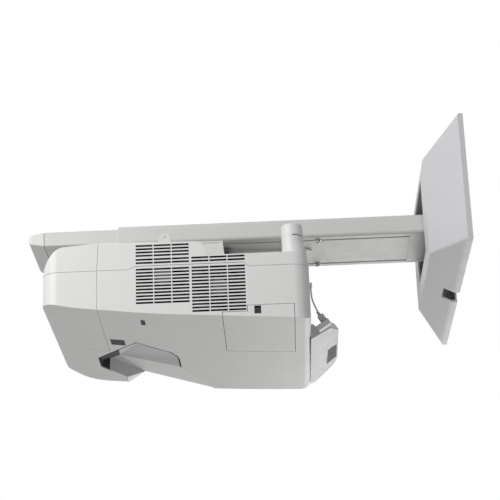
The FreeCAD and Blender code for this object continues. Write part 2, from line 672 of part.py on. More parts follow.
def seam_slabs():
    """Thin slabs along every visible seam of the casing."""
    y0 = -CASE_HALF - 5
    depth = V(0, 2 * CASE_HALF + 10, 0)
    w = GROOVE_W / 2
    line = [(CASE_X0 - 5, SPLIT_Z), (JOG_X0, SPLIT_Z), (JOG_X1, SPLIT_JOG_Z), (JOG_X2, SPLIT_JOG_Z),
            (JOG_X3, SPLIT_RIGHT_Z), (CASE_X1 + 5, SPLIT_RIGHT_Z)]
    split = prism([(x, y0, z - w) for x, z in line] + [(x, y0, z + w) for x, z in reversed(line)], depth)
    upper = prism([(END_SEAM_TOP_X - w, y0, -20), (END_SEAM_TOP_X + w, y0, -20), (END_SEAM_X + w, y0, SPLIT_Z),
                   (END_SEAM_X - w, y0, SPLIT_Z)], depth)
    lower = box(END_SEAM_X - w, END_SEAM_X + w, y0, END_SEAM_Y + w, -240, SPLIT_Z)
    under = box(CASE_X0 - 5, END_SEAM_X + w, END_SEAM_Y - w, END_SEAM_Y + w, -240, SPLIT_Z)
    return [split, upper, lower, under]


OUTER = case_form(0.0)
INNER = case_form(CASE_WALL)
SKIN = case_form(GROOVE_DEPTH)
GROOVES = Part.makeCompound([slab.cut(SKIN) for slab in seam_slabs()])
ABOVE = split_prism(True)
BELOW = split_prism(False)
LEFT_END = end_prism()
SHELL = OUTER.cut(INNER)


def slot_box(x, z):
    """One grille slot with round ends, through the near wall."""
    h = GRILLE_SLOT_H
    return box(x, x + GRILLE_SLOT_L, -CASE_HALF - 2, -CASE_HALF + CASE_WALL + 2, z - h / 2, z + h / 2)


def grille_field(x_start, z_top, rows):
    slots = []
    for row in range(rows):
        for column in range(3):
            slots.append(slot_box(x_start + column * GRILLE_COLUMN_PITCH, z_top - row * GRILLE_ROW_PITCH))
    return slots


def upper_grilles():
    second = UPPER_ROWS_TOP - 4 * GRILLE_ROW_PITCH - UPPER_ROWS_GAP
    return (grille_field(GRILLE_LEFT_X, UPPER_ROWS_TOP, 4) + grille_field(GRILLE_LEFT_X, second, 2)
            + grille_field(GRILLE_RIGHT_X, second, 2))


def lower_grilles():
    return grille_field(GRILLE_LEFT_X, LOWER_ROWS_TOP, 11) + grille_field(GRILLE_RIGHT_X, LOWER_ROWS_TOP, 14)


# Light recess: a convex hollow bounded by planes through measured points of its rim and ceiling
RIM_P1 = (-603.3, 59.5, -166.2)
RIM_P2 = (-566.3, 11.7, -169.4)
RIM_NEAR = (-533.2, -32.5, -173.0)
RIM_ARC = ((-512.5, -17.9, -176.3), (-497.0, -7.2, -178.5), (-481.3, 2.4, -180.3), (-472.6, 19.5, -181.6),
           (-470.1, 31.4, -182.0))
RIM_EAST = (-469.6, 71.5, -183.2)
RIM_P5 = (-592.5, 115.6, -168.8)
RIM_P6 = (-603.2, 100.9, -167.1)
RIM_FAR = (-565.0, 149.9, -173.0)
CEILING_NEAR = (-573.6, 99.3, -148.3)
CEILING_FAR = (-536.6, 175.0, -155.4)
WINDOW_HIGH = (-592.0, 116.3, -148.4)
WINDOW_LOW = (-602.0, 102.5, -156.0)
RECESS_INSIDE = V(-540.0, 80.0, -168.0)
RECESS_WALL = 2.5
REVEAL = 1.0
REVEAL_DEPTH = 2.0


def recess_planes():
    rim = (RIM_P2, RIM_NEAR) + RIM_ARC + (RIM_EAST,)
    planes = [(rim[i], rim[i + 1], CEILING_NEAR) for i in range(len(rim) - 1)]
    planes.append((RIM_EAST, CEILING_NEAR, CEILING_FAR))
    planes.append((CEILING_NEAR, WINDOW_HIGH, CEILING_FAR))
    planes.append((RIM_P5, RIM_FAR, CEILING_FAR))
    planes.append((RIM_P5, RIM_P6, (RIM_P6[0], RIM_P6[1], RIM_P6[2] + 10.0)))
    planes.append((RIM_P1, RIM_P6, WINDOW_LOW))
    planes.append((RIM_P1, RIM_P2, CEILING_NEAR))
    return planes


def outward_normal(plane):
    a, b, c = [V(*p) for p in plane]
    normal = (b - a).cross(c - a)
    normal.normalize()
    return normal * -1 if normal.dot(RECESS_INSIDE - a) > 0 else normal


def recess_form(grow):
    form = box(-640, -390, -70, 200, -240, -130)
    size = 600.0
    for plane in recess_planes():
        normal = outward_normal(plane)
        block = Part.makeBox(size, size, size, V(-size / 2, -size / 2, 0))
        block.Placement = FreeCAD.Placement(V(*plane[0]) + normal * grow, FreeCAD.Rotation(Z_AXIS, normal))
        form = form.cut(block)
    return form


RECESS = recess_form(0.0)
RECESS_HOLE = recess_form(REVEAL)
RECESS_OUTER = recess_form(RECESS_WALL)


# Lamp door: the part of the skin inside an L-shaped outline, hinged along its far edge
HINGE_SETBACK = 7.0
HINGE_HEIGHT = 4.2
HINGE_PIN_R = 1.5
HINGE_EDGE_GAP = 1.4
DOOR_EDGE_LEFT = V(DOOR_X0, DOOR_Y1, -187.5)
DOOR_EDGE_RIGHT = V(DOOR_X1, DOOR_Y1, -193.4)
HINGE_LEFT = DOOR_EDGE_LEFT + V(0, -HINGE_SETBACK, HINGE_HEIGHT)
HINGE_RIGHT = DOOR_EDGE_RIGHT + V(0, -HINGE_SETBACK, HINGE_HEIGHT)
HINGE_DIR = (HINGE_RIGHT - HINGE_LEFT) * (1.0 / (HINGE_RIGHT - HINGE_LEFT).Length)
HINGE_LENGTH = (HINGE_RIGHT - HINGE_LEFT).Length
KNUCKLE_AT = (12.0, 90.0)
KNUCKLE_W = 10.0


def door_zone(grow, far_gap):
    """The space of the door's side flap and underside panel, larger by grow for its opening."""
    y0 = -CASE_HALF - 5
    side = prism([(DOOR_NOTCH_X - grow, y0, DOOR_TOP_Z + grow), (DOOR_X1 + grow, y0, DOOR_TOP_Z + grow),
                  (DOOR_X1 + grow, y0, -240), (DOOR_X0 - grow, y0, -240),
                  (DOOR_X0 - grow, y0, DOOR_SHOULDER_Z + grow),
                  (DOOR_NOTCH_X - grow, y0, DOOR_SHOULDER_Z + grow)], V(0, 5 + CASE_WALL + 1, 0))
    under = box(DOOR_X0 - grow, DOOR_X1 + grow, -CASE_HALF + CASE_WALL, DOOR_Y1 + far_gap, -240, -176)
    return side.fuse(under)


def hinge_block(start, length, rise):
    """A block standing on the skin's inside round the hinge line."""
    middle = HINGE_LEFT + HINGE_DIR * start
    return box(middle.x, middle.x + length, middle.y - 3.5, middle.y + 3.5, middle.z - 4, middle.z + rise)


def hinge_rod(start, length, radius):
    return rod(HINGE_LEFT + HINGE_DIR * start, HINGE_DIR, length, radius)


def make_door():
    door = SHELL.common(door_zone(0.0, 0.0))
    knuckles = [hinge_block(t, KNUCKLE_W, 3.0).common(case_form(CASE_WALL / 2)) for t in KNUCKLE_AT]
    door = fuse_all([door] + knuckles)
    return cut_all(door, [hinge_rod(-10, HINGE_LENGTH + 20, HINGE_PIN_R + PIN_GAP), latch_window(LATCH_GAP)])


def make_hinge_pin():
    return hinge_rod(-6, HINGE_LENGTH + 12, HINGE_PIN_R)


def hinge_lugs():
    """Blocks on the lower shell beside the door that hold the ends of the hinge pin."""
    left = hinge_block(-DOOR_GAP - 5.0, 4.8, 3.5)
    right = hinge_block(HINGE_LENGTH + DOOR_GAP + 0.2, 4.8, 3.5)
    return [lug.common(case_form(CASE_WALL / 2)) for lug in (left, right)]


LATCH_GAP = 0.3
LATCH_BACK = 2.0


def latch_window(grow):
    return box(LATCH_X0 - grow, LATCH_X1 + grow, -CASE_HALF - 1, -CASE_HALF + CASE_WALL + 1,
               LATCH_Z0 - grow, LATCH_Z1 + LATCH_TRAVEL + grow)


def make_latch():
    """A thumb slide: its face sits in the door's window and a wider back plate keeps it there."""
    inside = -CASE_HALF + CASE_WALL + 0.1
    face = box(LATCH_X0, LATCH_X1, -CASE_HALF + 0.8, inside + 1, LATCH_Z0, LATCH_Z1)
    back = box(LATCH_X0 - LATCH_BACK, LATCH_X1 + LATCH_BACK, inside, inside + 1.5,
               LATCH_Z0 - 0.5, LATCH_Z1 + 1.0)
    ribs = [box(LATCH_X0 + 1.5, LATCH_X1 - 1.5, -CASE_HALF + 0.2, -CASE_HALF + 1.0, z, z + 1.0)
            for z in (LATCH_Z0 + 2.0, LATCH_Z0 + 4.2, LATCH_Z0 + 6.4)]
    return fuse_all([face, back] + ribs)


# Feet
def foot_boss(side):
    """The fixed root of a foot, a leaning cone that blends into the roof."""
    low = Part.Wire(Part.makeCircle(FOOT_R + FOOT_FLARE / 2, V(FOOT_X + FOOT_FLARE / 2, side * FOOT_Y, ROOF_Z - 1)))
    mid = Part.Wire(Part.makeCircle(FOOT_R, V(FOOT_X, side * FOOT_Y, ROOF_Z + 22)))
    cone = Part.makeLoft([low, mid], True)
    top = rod(V(FOOT_X, side * FOOT_Y, ROOF_Z + 22), Z_AXIS, FOOT_SEAM_Z - FOOT_SEAM_GAP / 2 - ROOF_Z - 22, FOOT_R)
    bore = rod(V(FOOT_X, side * FOOT_Y, ROOF_Z + 0.5), Z_AXIS, 60, FOOT_STEM_R + PIN_GAP)
    return cone.fuse(top).removeSplitter(), bore


def make_foot_stem(side):
    bottom = ROOF_Z + 1.0
    return rod(V(FOOT_X, side * FOOT_Y, bottom), Z_AXIS, FOOT_SEAM_Z - FOOT_SEAM_GAP / 2 - bottom + 12, FOOT_STEM_R)


def make_foot_cap(side):
    z0 = FOOT_SEAM_Z + FOOT_SEAM_GAP / 2
    cap = rod(V(FOOT_X, side * FOOT_Y, z0), Z_AXIS, FOOT_TOP - z0, FOOT_R)
    cap = cap.makeFillet(3.0, [e for e in cap.Edges if e.BoundBox.ZMin > FOOT_TOP - 0.01])
    tools = [rod(V(FOOT_X, side * FOOT_Y, z0 - 1), Z_AXIS, 13 - FOOT_SEAM_GAP, FOOT_STEM_R + PIN_GAP)]
    for k in range(4):
        a = math.radians(-55 + 90 * k)
        reach = FOOT_R + FOOT_FLUTE_R * 0.6
        tools.append(rod(V(FOOT_X + reach * math.cos(a), side * FOOT_Y + reach * math.sin(a), z0 - 1),
                         Z_AXIS, FOOT_TOP - z0 + 2, FOOT_FLUTE_R))
    return cut_all(cap, tools)


CHASSIS_TOP = -86.0
CHASSIS_T = 1.5
CHASSIS_BOTTOM = CHASSIS_TOP - CHASSIS_T
CHASSIS_SCREW_R = 1.5
CHASSIS_POSTS = ((-284.0, -120.0), (-284.0, 130.0), (-540.0, -120.0), (-575.0, 130.0))
ADAPTER_SCREW_Y = ADAPTER_HALF + 9.0
ADAPTER_SCREW_R = 2.0
DECK_SLOPE = (DECK_Z + 53.0) / (STEP_X0 + 577.0)


def deck_z(x):
    return DECK_Z + DECK_SLOPE * (x - STEP_X0)


def post_height(x):
    roof = ROOF_Z if x > STEP_X1 else deck_z(x)
    return roof - CASE_WALL / 2 - CHASSIS_TOP


def make_upper_shell():
    shell = SHELL.common(ABOVE).cut(LEFT_END)
    adds = []
    bores = []
    for side in (-1, 1):
        boss, bore = foot_boss(side)
        adds.append(boss.cut(INNER))
        bores.append(bore)
    for x, y in CHASSIS_POSTS:
        adds.append(rod(V(x, y, CHASSIS_TOP), Z_AXIS, post_height(x), 5.0))
        bores.append(rod(V(x, y, CHASSIS_TOP - 1), Z_AXIS, 5, CHASSIS_SCREW_R))
    for x in ADAPTER_SCREW_XS:
        for s in (-1, 1):
            z = deck_z(x) - CASE_WALL / 2
            adds.append(rod(V(x, s * ADAPTER_SCREW_Y, z), Z_AXIS * -1, 12, 5.0))
            bores.append(rod(V(x, s * ADAPTER_SCREW_Y, z + 5), Z_AXIS * -1, 14, ADAPTER_SCREW_R))
    shell = fuse_all([shell] + adds)
    return cut_all(shell, upper_grilles() + bores + [GROOVES])


def left_panel_zone():
    below = NEAR_END[1] - 60
    return LEFT_END.common(box(CASE_X0 - 30, CASE_X1, -CASE_HALF - 10, END_SEAM_Y, below, -10))


def make_lower_shell():
    shell = SHELL.common(BELOW).cut(left_panel_zone())
    shell = shell.cut(door_zone(DOOR_GAP, HINGE_EDGE_GAP))
    shell = fuse_all([shell] + hinge_lugs())
    tools = lower_grilles() + [RECESS_HOLE, GROOVES, hinge_rod(-7, HINGE_LENGTH + 14, HINGE_PIN_R)]
    tools += [sensor_zone(), receiver_zone(), make_case_screws()]
    return cut_all(shell, tools)


def make_end_panel():
    return cut_all(SHELL.common(BELOW).common(left_panel_zone()), [GROOVES, RECESS_HOLE])


def make_cable_cover():
    return SHELL.common(ABOVE).common(LEFT_END).cut(GROOVES)


# Small windows let into the underside
SENSOR_X0 = -575.7
SENSOR_X1 = -552.4
SENSOR_Y0 = -41.3
SENSOR_Y1 = -15.3
RECEIVER_X = -513.8
RECEIVER_Y0 = -139.0
RECEIVER_Y1 = -123.0
RECEIVER_R = 3.6


def sensor_zone():
    return box(SENSOR_X0, SENSOR_X1, SENSOR_Y0, SENSOR_Y1, -200, -150)


def receiver_zone():
    bar = box(RECEIVER_X - RECEIVER_R, RECEIVER_X + RECEIVER_R, RECEIVER_Y0, RECEIVER_Y1, -200, -150)
    ends = [rod(V(RECEIVER_X, y, -200), Z_AXIS, 50, RECEIVER_R) for y in (RECEIVER_Y0, RECEIVER_Y1)]
    return fuse_all([bar] + ends)


def make_recess_liner():
    """The moulded lining of the light recess, held against the inside of the skin."""
    lining = RECESS_OUTER.cut(RECESS).common(INNER)
    rebate = RECESS_HOLE.cut(case_form(CASE_WALL + REVEAL_DEPTH))
    return cut_all(lining, [rebate, glass_slab()])


GLASS_INSET = 1.2
GLASS_T = 2.5


def glass_slab():
    """The projection window, a slab on the upright facet at the recess's left end."""
    normal = outward_normal((RIM_P5, RIM_P6, (RIM_P6[0], RIM_P6[1], RIM_P6[2] + 10.0)))
    corners = [V(*p) for p in (RIM_P6, RIM_P5, WINDOW_HIGH, WINDOW_LOW)]
    centre = (corners[0] + corners[1] + corners[2] + corners[3]) * 0.25
    flat = []
    for corner in corners:
        p = centre + (corner - centre) * (1 - GLASS_INSET / 9.0)
        flat.append(p - normal * normal.dot(p - V(*RIM_P5)))
    face = Part.Face(Part.makePolygon(flat + [flat[0]]))
    return face.extrude(normal * GLASS_T).common(case_form(CASE_WALL + 1.0))


# Fans
def fan_ring(x, z, y, length, radius):
    return rod(V(x, y, z), Y_AXIS, length, radius)


FAN_Y0 = -CASE_HALF + CASE_WALL + FAN_SEAT_GAP
FAN_Y1 = FAN_Y0 + FAN_DEPTH
SPIDER_T = 2.5
ROTOR_Y0 = FAN_Y0 + 4.0
ROTOR_Y1 = FAN_Y1 - SPIDER_T - 0.5


def make_fan_frame(x, z):
    half = FAN_SIZE / 2
    frame = box(x - half, x + half, FAN_Y0, FAN_Y1, z - half, z + half)
    frame = frame.makeFillet(5.0, [e for e in frame.Edges if e.BoundBox.YLength > FAN_DEPTH / 2])
    waist = box(x - half - 1, x + half + 1, FAN_Y0 + 4, FAN_Y1 - 4, z - half - 1, z + half + 1)
    waist = waist.cut(fan_ring(x, z, FAN_Y0, FAN_DEPTH, half + 2.5))
    tools = [fan_ring(x, z, FAN_Y0 - 1, FAN_DEPTH + 2, FAN_BORE_R), waist]
    for sx in (-1, 1):
        for sz in (-1, 1):
            tools.append(fan_ring(x + sx * (half - 5), z + sz * (half - 5), FAN_Y0 - 1, FAN_DEPTH + 2, 2.0))
    frame = cut_all(frame, tools)
    parts = [frame, fan_ring(x, z, FAN_Y1 - SPIDER_T, SPIDER_T, FAN_HUB_R + 1),
             fan_ring(x, z, ROTOR_Y0 + 4, FAN_Y1 - ROTOR_Y0 - 5, FAN_SHAFT_R)]
    for k in range(3):
        strut = box(x, x + FAN_BORE_R + 1, FAN_Y1 - SPIDER_T, FAN_Y1, z - 2, z + 2)
        strut.rotate(V(x, 0, z), Y_AXIS, 120 * k + 30)
        parts.append(strut)
    return fuse_all(parts)


def blade_section(x, z, angle, radius, chord, pitch):
    """A thin slanted four-sided section of a blade at one radius."""
    radial = V(math.cos(angle), 0, math.sin(angle))
    around = V(-math.sin(angle), 0, math.cos(angle))
    along = around * math.cos(pitch) + Y_AXIS * math.sin(pitch)
    thick = around * -math.sin(pitch) + Y_AXIS * math.cos(pitch)
    middle = V(x, (ROTOR_Y0 + ROTOR_Y1) / 2, z) + radial * radius
    corners = [middle + along * (i * chord / 2) + thick * (j * 0.7) for i, j in ((1, 1), (-1, 1), (-1, -1), (1, -1))]
    return Part.makePolygon(corners + [corners[0]])


def make_fan_rotor(x, z):
    hub = fan_ring(x, z, ROTOR_Y0, ROTOR_Y1 - ROTOR_Y0, FAN_HUB_R)
    hub = hub.makeFillet(2.5, [e for e in hub.Edges if e.Closed and e.BoundBox.YMax < ROTOR_Y0 + 0.1])
    sweep = fan_ring(x, z, ROTOR_Y0 - 5, FAN_DEPTH + 10, FAN_TIP_R)
    blades = []
    for k in range(FAN_BLADES):
        a = 2 * math.pi * k / FAN_BLADES
        sections = [blade_section(x, z, a, FAN_HUB_R - 2, 15.0, math.radians(50)),
                    blade_section(x, z, a + 0.25, FAN_TIP_R + 3, 24.0, math.radians(28))]
        blades.append(Part.makeLoft(sections, True, True).common(sweep))
    rotor = fuse_all([hub] + blades)
    bore = fan_ring(x, z, ROTOR_Y0 + 3.5, FAN_DEPTH, FAN_SHAFT_R + PIN_GAP)
    return rotor.cut(bore)


# Inside the casing
CHASSIS_X0 = -655.0
CHASSIS_X1 = -275.0
CHASSIS_Y0 = -CASE_HALF + 35.0
CHASSIS_Y1 = CASE_HALF - 25.0
BOARD_Z = -100.0
BOARD_T = 1.6
MAIN_BOARD = (-432.0, -292.0, -50.0, 142.0)
POWER_BOARD = (-640.0, -530.0, -134.0, 0.0)


def board_posts(area):
    x0, x1, y0, y1 = area
    return [(x, y) for x in (x0 + 6, x1 - 6) for y in (y0 + 6, y1 - 6)]


def make_chassis():
    plate = box(CHASSIS_X0, CHASSIS_X1, CHASSIS_Y0, CHASSIS_Y1, CHASSIS_BOTTOM, CHASSIS_TOP)
    posts = [rod(V(x, y, CHASSIS_BOTTOM), Z_AXIS * -1, CHASSIS_BOTTOM - BOARD_Z, 3.0)
             for area in (MAIN_BOARD, POWER_BOARD) for x, y in board_posts(area)]
    chassis = fuse_all([plate] + posts)
    holes = [rod(V(x, y, CHASSIS_BOTTOM - 1), Z_AXIS, CHASSIS_T + 2, CHASSIS_SCREW_R) for x, y in CHASSIS_POSTS]
    vents = [box(x, x + 4, -40, 10, CHASSIS_BOTTOM - 1, CHASSIS_TOP + 1) for x in range(-510, -440, 10)]
    return cut_all(chassis, holes + vents)


def make_case_screws():
    """The like screws of the chassis and of the sensor module's sheet."""
    screws = [screw(V(x, y, CHASSIS_BOTTOM), Z_AXIS * -1, 3.0, 2.0, CHASSIS_SCREW_R, 5.0)
              for x, y in CHASSIS_POSTS]
    screws += [screw(V(CASE_X1 + 2.5, y, -150), X_AXIS, 3.0, 2.0, CHASSIS_SCREW_R, 4.5) for y in (20, 60, 100)]
    return Part.makeCompound(screws)


def make_board(area, blocks):
    x0, x1, y0, y1 = area
    top = BOARD_Z
    parts = [box(x0, x1, y0, y1, top - BOARD_T, top)]
    for bx, by, w, d, h in blocks:
        parts.append(box(x0 + bx, x0 + bx + w, y0 + by, y0 + by + d, top - BOARD_T - h, top - BOARD_T))
    return fuse_all(parts)


MAIN_CHIPS = ((20, 30, 32, 32, 5), (64, 34, 22, 22, 3), (22, 90, 40, 16, 8), (96, 60, 26, 60, 6), (30, 140, 50, 14, 10))
POWER_CHIPS = ((12, 14, 34, 30, 26), (60, 16, 26, 26, 22), (14, 62, 20, 20, 24), (48, 66, 44, 18, 14),
               (20, 100, 60, 16, 10))

ENGINE = (-560.0, -440.0, 12.0, 140.0, -138.0)
LENS_Y = 85.0
LENS_Z = -113.0


def make_engine():
    x0, x1, y0, y1, z0 = ENGINE
    body = box(x0, x1, y0, y1, z0, CHASSIS_BOTTOM)
    body = body.makeFillet(6.0, [e for e in body.Edges if e.BoundBox.ZLength > 10])
    ribs = [box(x0 + 14 + 12 * k, x0 + 16 + 12 * k, y0 - 6, y0 + 1, z0, CHASSIS_BOTTOM) for k in range(8)]
    return fuse_all([body] + ribs)


def make_lens_barrel():
    x = ENGINE[0]
    parts = [rod(V(x, LENS_Y, LENS_Z), X_AXIS * -1, 14, 24.0), rod(V(x, LENS_Y, LENS_Z), X_AXIS * -1, 34, 21.0),
             rod(V(x, LENS_Y, LENS_Z), X_AXIS * -1, 52, 18.0)]
    barrel = fuse_all(parts)
    return barrel.cut(Part.makeCone(12, 15.5, 8, V(x - 45, LENS_Y, LENS_Z), X_AXIS * -1))


MIRROR_X = -648.0
MIRROR_Y0 = 58.0
MIRROR_Y1 = 132.0
MIRROR_Z0 = -141.0


def make_mirror():
    block = box(MIRROR_X, MIRROR_X + 14, MIRROR_Y0, MIRROR_Y1, MIRROR_Z0, CHASSIS_BOTTOM - 3)
    centre = V(MIRROR_X + 3 + 75, (MIRROR_Y0 + MIRROR_Y1) / 2, (MIRROR_Z0 + CHASSIS_BOTTOM) / 2)
    return block.cut(Part.makeSphere(75, centre))


def make_mirror_bracket():
    back = box(MIRROR_X - 2, MIRROR_X, MIRROR_Y0 - 4, MIRROR_Y1 + 4, MIRROR_Z0, CHASSIS_BOTTOM)
    top = box(MIRROR_X - 2, MIRROR_X + 20, MIRROR_Y0 - 4, MIRROR_Y1 + 4, CHASSIS_BOTTOM - 2, CHASSIS_BOTTOM)
    return fuse_all([back, top])


LAMP_FAN_GAP = 9.4
LAMP_Y0 = FAN_Y1 + LAMP_FAN_GAP
LAMP = (-378.0, -292.0, LAMP_Y0, -62.0, -170.0)


def make_lamp_unit():
    x0, x1, y0, y1, z0 = LAMP
    body = box(x0, x1, y0, y1, z0, CHASSIS_BOTTOM)
    body = body.makeFillet(5.0, [e for e in body.Edges if e.BoundBox.ZLength > 10])
    vents = [box(x0 - 1, x0 + 4, y0 + 12, y1 - 12, z, z + 3) for z in range(-155, -105, 8)]
    vents += [box(x0 + 12 + 9 * k, x0 + 16 + 9 * k, y1 - 4, y1 + 1, -150, -110) for k in range(7)]
    return cut_all(body, vents)


def make_air_filter():
    x0, x1, y0, y1, z1 = LAMP
    frame = box(x0 + 2, x1 - 2, y0 + 2, y1 - 2, z1 - 8, z1)
    grooves = [box(x, x + 2.6, y0 + 6, y1 - 6, z1 - 9, z1 - 3) for x in range(int(x0) + 8, int(x1) - 10, 5)]
    return cut_all(frame, grooves)


# Projector bracket under the three-axis adjuster
def make_adapter_plate():
    web_bottom = ADAPTER_TOP - ADAPTER_T
    parts = [box(ADAPTER_X0, ADAPTER_X1, -ADAPTER_HALF + 1, ADAPTER_HALF - 1, web_bottom, ADAPTER_TOP)]
    for s in (-1, 1):
        y0 = ADAPTER_HALF - ADAPTER_T if s > 0 else -ADAPTER_HALF
        foot = [(ADAPTER_X0, deck_z(ADAPTER_X0) + 0.05), (STEP_X0, DECK_Z + 0.05), (STEP_X0 + 3.0, DECK_Z),
                (STEP_X1 + 3.5, ROOF_Z + 0.05), (FLANGE_FOOT_X1, ROOF_Z + 0.05), (ADAPTER_X1 - 0.4, FLANGE_TOP),
                (ADAPTER_X0, FLANGE_TOP)]
        flange = prism([(x, y0, z) for x, z in foot], V(0, ADAPTER_T, 0))
        relief_y = y0 - 1 if s < 0 else y0 + ADAPTER_T - RELIEF_DEPTH
        relief = prism([(-419.0, relief_y, -38.5), (-389.0, relief_y, -38.5), (-390.0, relief_y, -61.0)],
                       V(0, RELIEF_DEPTH + 1, 0))
        parts.append(flange.cut(relief))
        lip_y = ADAPTER_HALF - 0.5 if s > 0 else -ADAPTER_HALF - LIP_W
        lip = [(ADAPTER_X0, deck_z(ADAPTER_X0) + 0.05), (STEP_X0 - 2, DECK_Z + 0.1),
               (STEP_X0 - 2, DECK_Z + ADAPTER_T + 0.1), (ADAPTER_X0, deck_z(ADAPTER_X0) + ADAPTER_T)]
        parts.append(prism([(x, lip_y, z) for x, z in lip], V(0, LIP_W + 0.5, 0)))
        ear_y = ADAPTER_EAR_IN if s > 0 else -ADAPTER_EAR_IN - EAR_T
        ear = box(GIMBAL_X - ADAPTER_EAR_HALF, GIMBAL_X + ADAPTER_EAR_HALF, ear_y, ear_y + EAR_T,
                  web_bottom, GIMBAL_Z)
        parts.append(ear.fuse(rod(V(GIMBAL_X, ear_y, GIMBAL_Z), Y_AXIS, EAR_T, ADAPTER_EAR_HALF * 0.62)))
    eye = rod(V(EYE_X, -ADAPTER_HALF, EYE_Z), Y_AXIS, ADAPTER_T, EYE_R)
    neck = box(EYE_X - EYE_R - 3, EYE_X + EYE_R + 1, -ADAPTER_HALF, -ADAPTER_HALF + ADAPTER_T, FLANGE_TOP - 2, EYE_Z)
    adapter = fuse_all(parts + [eye, neck])
    tools = [rod(V(EYE_X, -ADAPTER_HALF - 1, EYE_Z), Y_AXIS, ADAPTER_T + 2, EYE_HOLE_R),
             rod(V(GIMBAL_X, -60, GIMBAL_Z), Y_AXIS, 120, PIVOT_R + PIN_GAP)]
    for x in ADAPTER_SCREW_XS:
        for s in (-1, 1):
            tools.append(rod(V(x, s * ADAPTER_SCREW_Y, -40), Z_AXIS * -1, 30, ADAPTER_SCREW_R))
    return cut_all(adapter, tools)


def make_adapter_screws():
    screws = []
    for x in ADAPTER_SCREW_XS:
        for s in (-1, 1):
            z = deck_z(x) + ADAPTER_T + 0.1
            screws.append(screw(V(x, s * ADAPTER_SCREW_Y, z), Z_AXIS, 3.8, 2.6, ADAPTER_SCREW_R, 12.0))
    return Part.makeCompound(screws)


# Sensor module
MODULE_U = V(math.cos(math.radians(MODULE_ANGLE)), 0, math.sin(math.radians(MODULE_ANGLE)))
MODULE_UP = V(-math.sin(math.radians(MODULE_ANGLE)), 0, math.cos(math.radians(MODULE_ANGLE)))
MODULE_START = V(CASE_X1, 0, MODULE_Z)
WINDOW_UV = ((35.0, 47.5), (43.6, 43.0), (53.0, 46.0), (54.0, 111.0), (33.5, 120.0))
SOCKET_UV = ((17.0, -96.0), (39.0, -96.0), (39.0, -60.5), (17.0, -66.5))
PLUG_U = 33.3
PLUG_Y = -79.0
PLUG_BASE = 9.0
PLUG_TOP = 22.0
RELIEF_TOP = 30.0


def module_point(u, y, t):
    """A point of the module: u up the slope, y along it, t in from its face."""
    return MODULE_START + MODULE_U * u + MODULE_UP * t + V(0, y, 0)


def module_prism(outline, t0, t1):
    points = [module_point(u, y, t0) for u, y in outline]
    return Part.Face(Part.makePolygon(points + [points[0]])).extrude(MODULE_UP * (t1 - t0))


def inset_outline(outline, distance):
    """The outline moved in by a distance towards its middle line."""
    result = []
    n = len(outline)
    for i in range(n):
        ax, ay = outline[i - 1]
        bx, by = outline[i]
        cx, cy = outline[(i + 1) % n]
        e1 = V(bx - ax, by - ay, 0).normalize()
        e2 = V(cx - bx, cy - by, 0).normalize()
        n1 = V(-e1.y, e1.x, 0)
        n2 = V(-e2.y, e2.x, 0)
        bisector = n1 + n2
        bisector = bisector * (distance / (1 + n1.dot(n2)))
        result.append((bx + bisector.x, by + bisector.y))
    return result


def outside_case():
    side = CASE_HALF + 25
    return box(CASE_X1, CASE_X1 + 200, -side, side + 50, MODULE_Z - 68, -60)


def make_module_housing():
    shell = module_prism(MODULE_OUTLINE, 0.0, MODULE_T)
    hollow = module_prism(inset_outline(MODULE_OUTLINE, MODULE_WALL), MODULE_WALL, MODULE_T + 1)
    slope = module_prism(((53.0, -100), (80, -100), (80, 200), (53.0, 200)), -1.0, 0.0)
    bevel = slope.copy()
    bevel.rotate(module_point(53.0, 0, 0), Y_AXIS, 0)
    cutter = prism([tuple(module_point(53.0, -100, 0)), tuple(module_point(70.0, -100, 0)),
                    tuple(module_point(70.0, -100, 9.0))], V(0, 320, 0))
    dot = rod(module_point(33.8, 13, -1), MODULE_UP, 1.6, 2.0)
    tools = [hollow, cutter, module_prism(WINDOW_UV, -1, MODULE_WALL + 1), dot]
    return cut_all(shell, tools).common(outside_case())


def make_module_window():
    return module_prism(WINDOW_UV, 0.6, MODULE_WALL)


def make_module_board():
    area = ((16.0, -40.0), (50.0, -15.0), (51.0, 125.0), (16.0, 150.0))
    board = module_prism(area, MODULE_WALL + 3.0, MODULE_WALL + 4.6)
    camera = rod(module_point(44.0, 78.0, MODULE_WALL), MODULE_UP, 3.5, 6.0)
    post = rod(module_point(30.0, 0.0, MODULE_WALL), MODULE_UP, 3.5, 3.0)
    return fuse_all([board, camera, post])


def make_module_back():
    """The sheet that closes the module's back and turns up the casing's end face."""
    outline = inset_outline(MODULE_OUTLINE, 0.4)
    sheet = module_prism(outline, MODULE_T, MODULE_T + 2.0).common(outside_case())
    upright = box(CASE_X1, CASE_X1 + 2.5, 0, 120, -178, -140)
    gussets = []
    for y in (0.0, 117.0):
        gussets.append(prism([(CASE_X1, y, -176), (CASE_X1, y, -142), (CASE_X1 + 6, y, -142),
                              tuple(module_point(36.0, y, MODULE_T + 1)), tuple(module_point(10.0, y, MODULE_T + 1))],
                             V(0, 3, 0)))
    back = fuse_all([sheet, upright] + gussets).common(outside_case())
    return back.cut(make_case_screws())


def make_socket():
    socket = module_prism(SOCKET_UV, 0.5, PLUG_BASE)
    return socket.cut(make_module_housing()).cut(module_prism(inset_outline(MODULE_OUTLINE, MODULE_WALL), 0, 20))


def make_plug():
    area = ((PLUG_U - 5, PLUG_Y - 4.5), (PLUG_U + 5, PLUG_Y - 4.5), (PLUG_U + 5, PLUG_Y + 4.5), (PLUG_U - 5, PLUG_Y + 4.5))
    plug = module_prism(area, PLUG_BASE, PLUG_TOP)
    return plug.makeFillet(1.5, [e for e in plug.Edges if abs(e.Length - (PLUG_TOP - PLUG_BASE)) < 1e-6])


